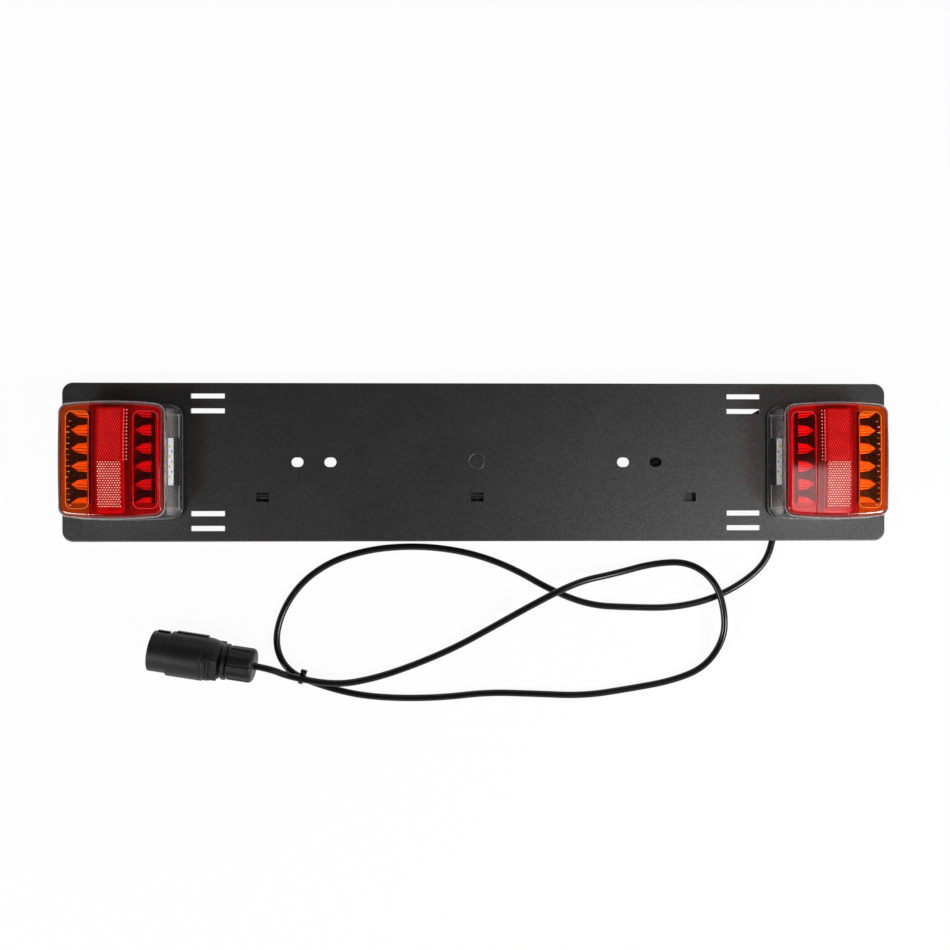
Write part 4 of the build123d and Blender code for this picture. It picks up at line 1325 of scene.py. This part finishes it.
@dataclass
class Plug:
    """The round plug on the end of the main cable."""

    repeat: RepeatTree
    mouth: Point = (-304.3, -176.6, 21.0)
    back: Point = (0.98769, -0.15643, 0.0)
    insert_depth: float = 12.0
    contact_count: int = 6
    contact_circle: float = 10.0

    def along(self, depth: float) -> Point:
        """The point on the plug's axis that lies depth behind its mouth."""
        return tuple(m + b * depth for m, b in zip(self.mouth, self.back))

    def facing(self) -> Point:
        """The turn that points a shape's top out of the mouth."""
        turn: Euler = (-Vector(self.back)).to_track_quat("Z", "Y").to_euler()
        return tuple(turn)

    def build(self) -> list[Piece]:
        """Dress the plug and add the collars round its contacts.

        Returns:
            Every piece that goes with the cable.
        """
        worn = {
            "plug_front_housing": Finishes.plug,
            "plug_rear_cover": Finishes.plug,
            "plug_gland_nut": Finishes.plug,
            "plug_cable_seal": Finishes.boot,
            "plug_contact_insert": Finishes.insert,
            "plug_contact_pins": Finishes.brass,
        }
        for name, finish in worn.items():
            dress(finish, name)
        collar = [(2.5, -0.1), (3.5, -0.1), (3.5, 0.4), (3.2, 0.7), (2.7, 0.7), (2.5, 0.5)]
        shape = turned_shape("contact_collar", collar, 16, closed=True)
        layout = Layout(
            columns=self.contact_count, ring_radius=self.contact_circle,
            place=self.along(self.insert_depth), facing=self.facing(),
        )
        collars = self.repeat.lay("contact_collars", shape, Finishes.insert, "plug_insert", layout)
        return [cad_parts[name] for name in worn] + [collars]


@dataclass
class Wiring:
    """The main cable, the lead between the lamps, and what holds them."""

    floor: float = 3.25
    main_exit: Point = (332.0, -10.0, 6.6)
    main_length: float = 1667.0
    main_diameter: float = 6.5
    lead_diameter: float = 5.0
    lead_route: tuple[Point, ...] = (
        (341.5, 17.79, 6.6), (327.0, 42.91, 6.6), (310.0, 54.0, 6.6), (284.0, 55.5, 6.6),
        (262.0, 43.0, 6.6), (225.24, 20.18, 7.6), (189.53, 7.18, 7.6),
    )
    link_route: tuple[Point, ...] = (
        (150.07, -7.18, 7.6), (104.96, -23.6, 7.6), (52.0, -31.8, 10.1), (0.0, -33.2, 10.1),
        (-52.0, -34.1, 10.1), (-104.0, -32.8, 10.1), (-156.0, -33.8, 10.1), (-202.4, -33.2, 10.1),
        (-250.0, -31.8, 9.0), (-293.55, -26.54, 6.6), (-337.42, -12.71, 6.6),
    )

    def main_route(self) -> list[Point]:
        """The main cable's way from its boot to the plug.

        Returns:
            Its control points.
        """
        low = self.floor
        return [
            (337.0, -10.0, 6.6), (317.0, -10.0, 6.6), (298.0, -21.5, 5.2), (288.0, -42.0, 3.8),
            (286.8, -70.0, low), (279.0, -96.0, low), (257.0, -115.5, low), (226.0, -131.5, low),
            (188.0, -139.8, low), (146.0, -139.0, low), (108.0, -137.0, low), (71.0, -122.5, low),
            (36.0, -102.0, low), (0.0, -88.0, low), (-37.0, -81.0, low), (-72.0, -79.8, low),
            (-106.0, -83.5, low), (-140.0, -94.0, low), (-169.0, -114.5, low), (-188.0, -144.0, low),
            (-193.7, -174.7, low), (-181.0, -199.7, 4.75), (-150.0, -212.5, 4.75), (-116.0, -222.0, low),
            (-78.0, -225.5, low), (-34.0, -225.0, low), (10.0, -220.2, low), (54.0, -221.8, low),
            (102.0, -224.0, low), (146.0, -217.5, low), (188.0, -210.0, low), (219.0, -197.0, 5.0),
            (236.0, -170.0, 11.0), (236.0, -143.0, 16.25), (227.0, -113.0, 16.25), (203.0, -95.0, 10.0),
            (170.0, -96.5, low), (132.0, -106.5, 6.5), (95.0, -113.5, 16.25), (50.0, -136.5, 16.25),
            (14.0, -157.5, 8.0), (-22.0, -177.5, low), (-62.0, -194.2, low), (-98.0, -206.0, 5.0),
            (-134.0, -211.5, 11.55), (-178.0, -203.5, 11.55), (-196.15, -193.73, 21.0),
            (-219.36, -190.05, 21.0),
        ]

    def build(self, plug_pieces: list[Piece]) -> None:
        """Lay the cables and dress what holds them.

        Args:
            plug_pieces: not used.
        """
        dress(Finishes.boot, "right_main_cable_boot", "right_lead_boot", "left_lead_boot")
        dress(Finishes.gasket, "left_blanking_grommet")
        dress(Finishes.sleeve, "lead_splice_sleeve")
        dress(Finishes.nylon, "cable_tie")
        for node, route in (("right_lead", self.lead_route), ("left_lead", self.link_route)):
            CableRun(f"{node}_cable", node, self.lead_diameter, route, Finishes.lead, "lead_sheath").build()
        route, wide = self.main_route(), self.main_diameter
        main = CableRun("main_cable_curve", "main_cable", wide, route, Finishes.cable, "cable_sheath").build()
        [c * MM for c in self.main_exit]


@dataclass(frozen=True)
class Softbox:
    """One flat lamp of the studio, in metres."""

    name: str
    size: Pair
    place: Point
    target: Point
    power: float

    def build(self) -> None:
        """Set the lamp up, facing its target."""
        lamp = bpy.data.lights.new(self.name, "AREA")
        lamp.shape = "RECTANGLE"
        lamp.size, lamp.size_y = self.size
        lamp.energy = self.power
        holder = bpy.data.objects.new(self.name, lamp)
        holder.location = self.place
        away = Vector(self.target) - Vector(self.place)
        holder.rotation_euler = away.to_track_quat("-Z", "Y").to_euler()
        bpy.context.scene.collection.objects.link(holder)


@dataclass
class Studio:
    """Floor, round backdrop, lamps, world and camera, in metres."""

    floor_radius: float = 5.0
    floor_tone: float = 0.82
    floor_facets: int = 96
    wall_height: float = 2.6
    cove_radius: float = 0.8
    cove_steps: int = 8
    glow: float = 0.95
    world_level: float = 0.06
    camera_place: Point = (0.0, -0.060, 1.016)
    camera_turn: Point = (0.0, -1.406, -0.084)
    camera_lens: float = 39.955
    camera_shift: Pair = (-0.02965, 0.05311)
    sensor_width: float = 36.0
    clip: Pair = (0.05, 30.0)
    lamps: tuple[Softbox, ...] = (
        Softbox("key_softbox", (0.53, 0.45), (0.665, -0.195, 1.556), (0.665, -0.195, 0.0), 2.4),
        Softbox("right_softbox", (0.6, 0.5), (1.25, -0.8, 1.15), (0.2, 0.0, 0.0), 27.0),
        Softbox("left_softbox", (0.6, 0.5), (-1.25, -0.8, 1.15), (-0.2, 0.0, 0.0), 16.0),
        Softbox("front_softbox", (2.0, 0.9), (0.3, -1.7, 1.45), (0.0, 0.0, 0.0), 4.0),
        Softbox("rear_softbox", (2.0, 0.9), (-0.1, 1.8, 1.45), (0.0, 0.0, 0.0), 1.5),
    )

    def build(self) -> None:
        """Set up the whole studio."""
        self.backdrop()
        for lamp in self.lamps:
            lamp.build()
        self.world()
        self.camera()

    def backdrop(self) -> None:
        """A pale floor that curves up into a round wall."""
        profile = [(TOP, 0.0), (self.floor_radius - self.cove_radius, 0.0)]
        for step in range(1, self.cove_steps + 1):
            angle = math.pi / 2 * step / self.cove_steps
            reach = self.floor_radius - self.cove_radius * (1 - math.sin(angle))
            profile.append((reach, self.cove_radius * (1 - math.cos(angle))))
        profile.append((self.floor_radius, self.wall_height))
        profile = [(r / MM, z / MM) for r, z in profile]
        mesh = smooth(turned_shape("studio_backdrop", profile, self.floor_facets))
        mesh.flip_normals()
        mesh.materials.append(self.backdrop_finish())
        floor = bpy.data.objects.new("studio_backdrop", mesh)
        bpy.context.scene.collection.objects.link(floor)

    def backdrop_finish(self) -> bpy.types.Material:
        """White to the eye and in reflections, with the object's shadow kept.

        Returns:
            The backdrop's material.
        """
        made = bpy.data.materials.new("backdrop_white")
        made.use_nodes = True
        sheet = NodeSheet(made.node_tree)
        path = sheet.add("ShaderNodeLightPath").outputs
        seen = sheet.maths("MAXIMUM", path["Is Camera Ray"], path["Is Glossy Ray"])
        seen = sheet.maths("MAXIMUM", seen, path["Is Transmission Ray"])
        glowing = sheet.maths("MULTIPLY", seen, self.glow)
        plain = sheet.add("ShaderNodeBsdfDiffuse", {"Color": (*[self.floor_tone] * 3, 1.0)})
        white = sheet.add("ShaderNodeEmission", {"Color": (1.0, 1.0, 1.0, 1.0), "Strength": 1.0})
        mixed = sheet.add("ShaderNodeMixShader", {0: glowing, 1: plain.outputs[0], 2: white.outputs[0]})
        sheet.add("ShaderNodeOutputMaterial", {"Surface": mixed.outputs[0]})
        return made

    def world(self) -> None:
        """A dim, even surround."""
        world = bpy.data.worlds.new("studio_world")
        world.use_nodes = True
        sheet = NodeSheet(world.node_tree)
        inputs = {"Color": (1.0, 1.0, 1.0, 1.0), "Strength": self.world_level}
        dim = sheet.add("ShaderNodeBackground", inputs)
        sheet.add("ShaderNodeOutputWorld", {"Surface": dim.outputs[0]})
        bpy.context.scene.world = world

    def camera(self) -> None:
        """A camera straight above the board, framed as the photograph is."""
        eye = bpy.data.cameras.new("photo_camera")
        eye.lens = self.camera_lens
        eye.sensor_width = self.sensor_width
        eye.shift_x, eye.shift_y = self.camera_shift
        eye.clip_start, eye.clip_end = self.clip
        holder = bpy.data.objects.new("photo_camera", eye)
        holder.location = self.camera_place
        holder.rotation_euler = [math.radians(angle) for angle in self.camera_turn]
        bpy.context.scene.collection.objects.link(holder)
        bpy.context.scene.camera = holder


def write_sizes() -> None:
    """Update the view layer."""
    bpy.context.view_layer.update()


def main() -> None:
    """Build the studio and every sub-assembly in order."""
    logging.basicConfig(level=logging.INFO, format="%(message)s")
    bpy.context.scene.view_settings.view_transform = "Standard"
    Studio().build()
    repeat = RepeatTree()
    plug_pieces = Plug(repeat).build()
    Wiring().build(plug_pieces)
    Board(repeat).build()
    for side in Side:
        RearLamp(repeat, side).build()
    write_sizes()


if __name__ == "__main__":
    main()
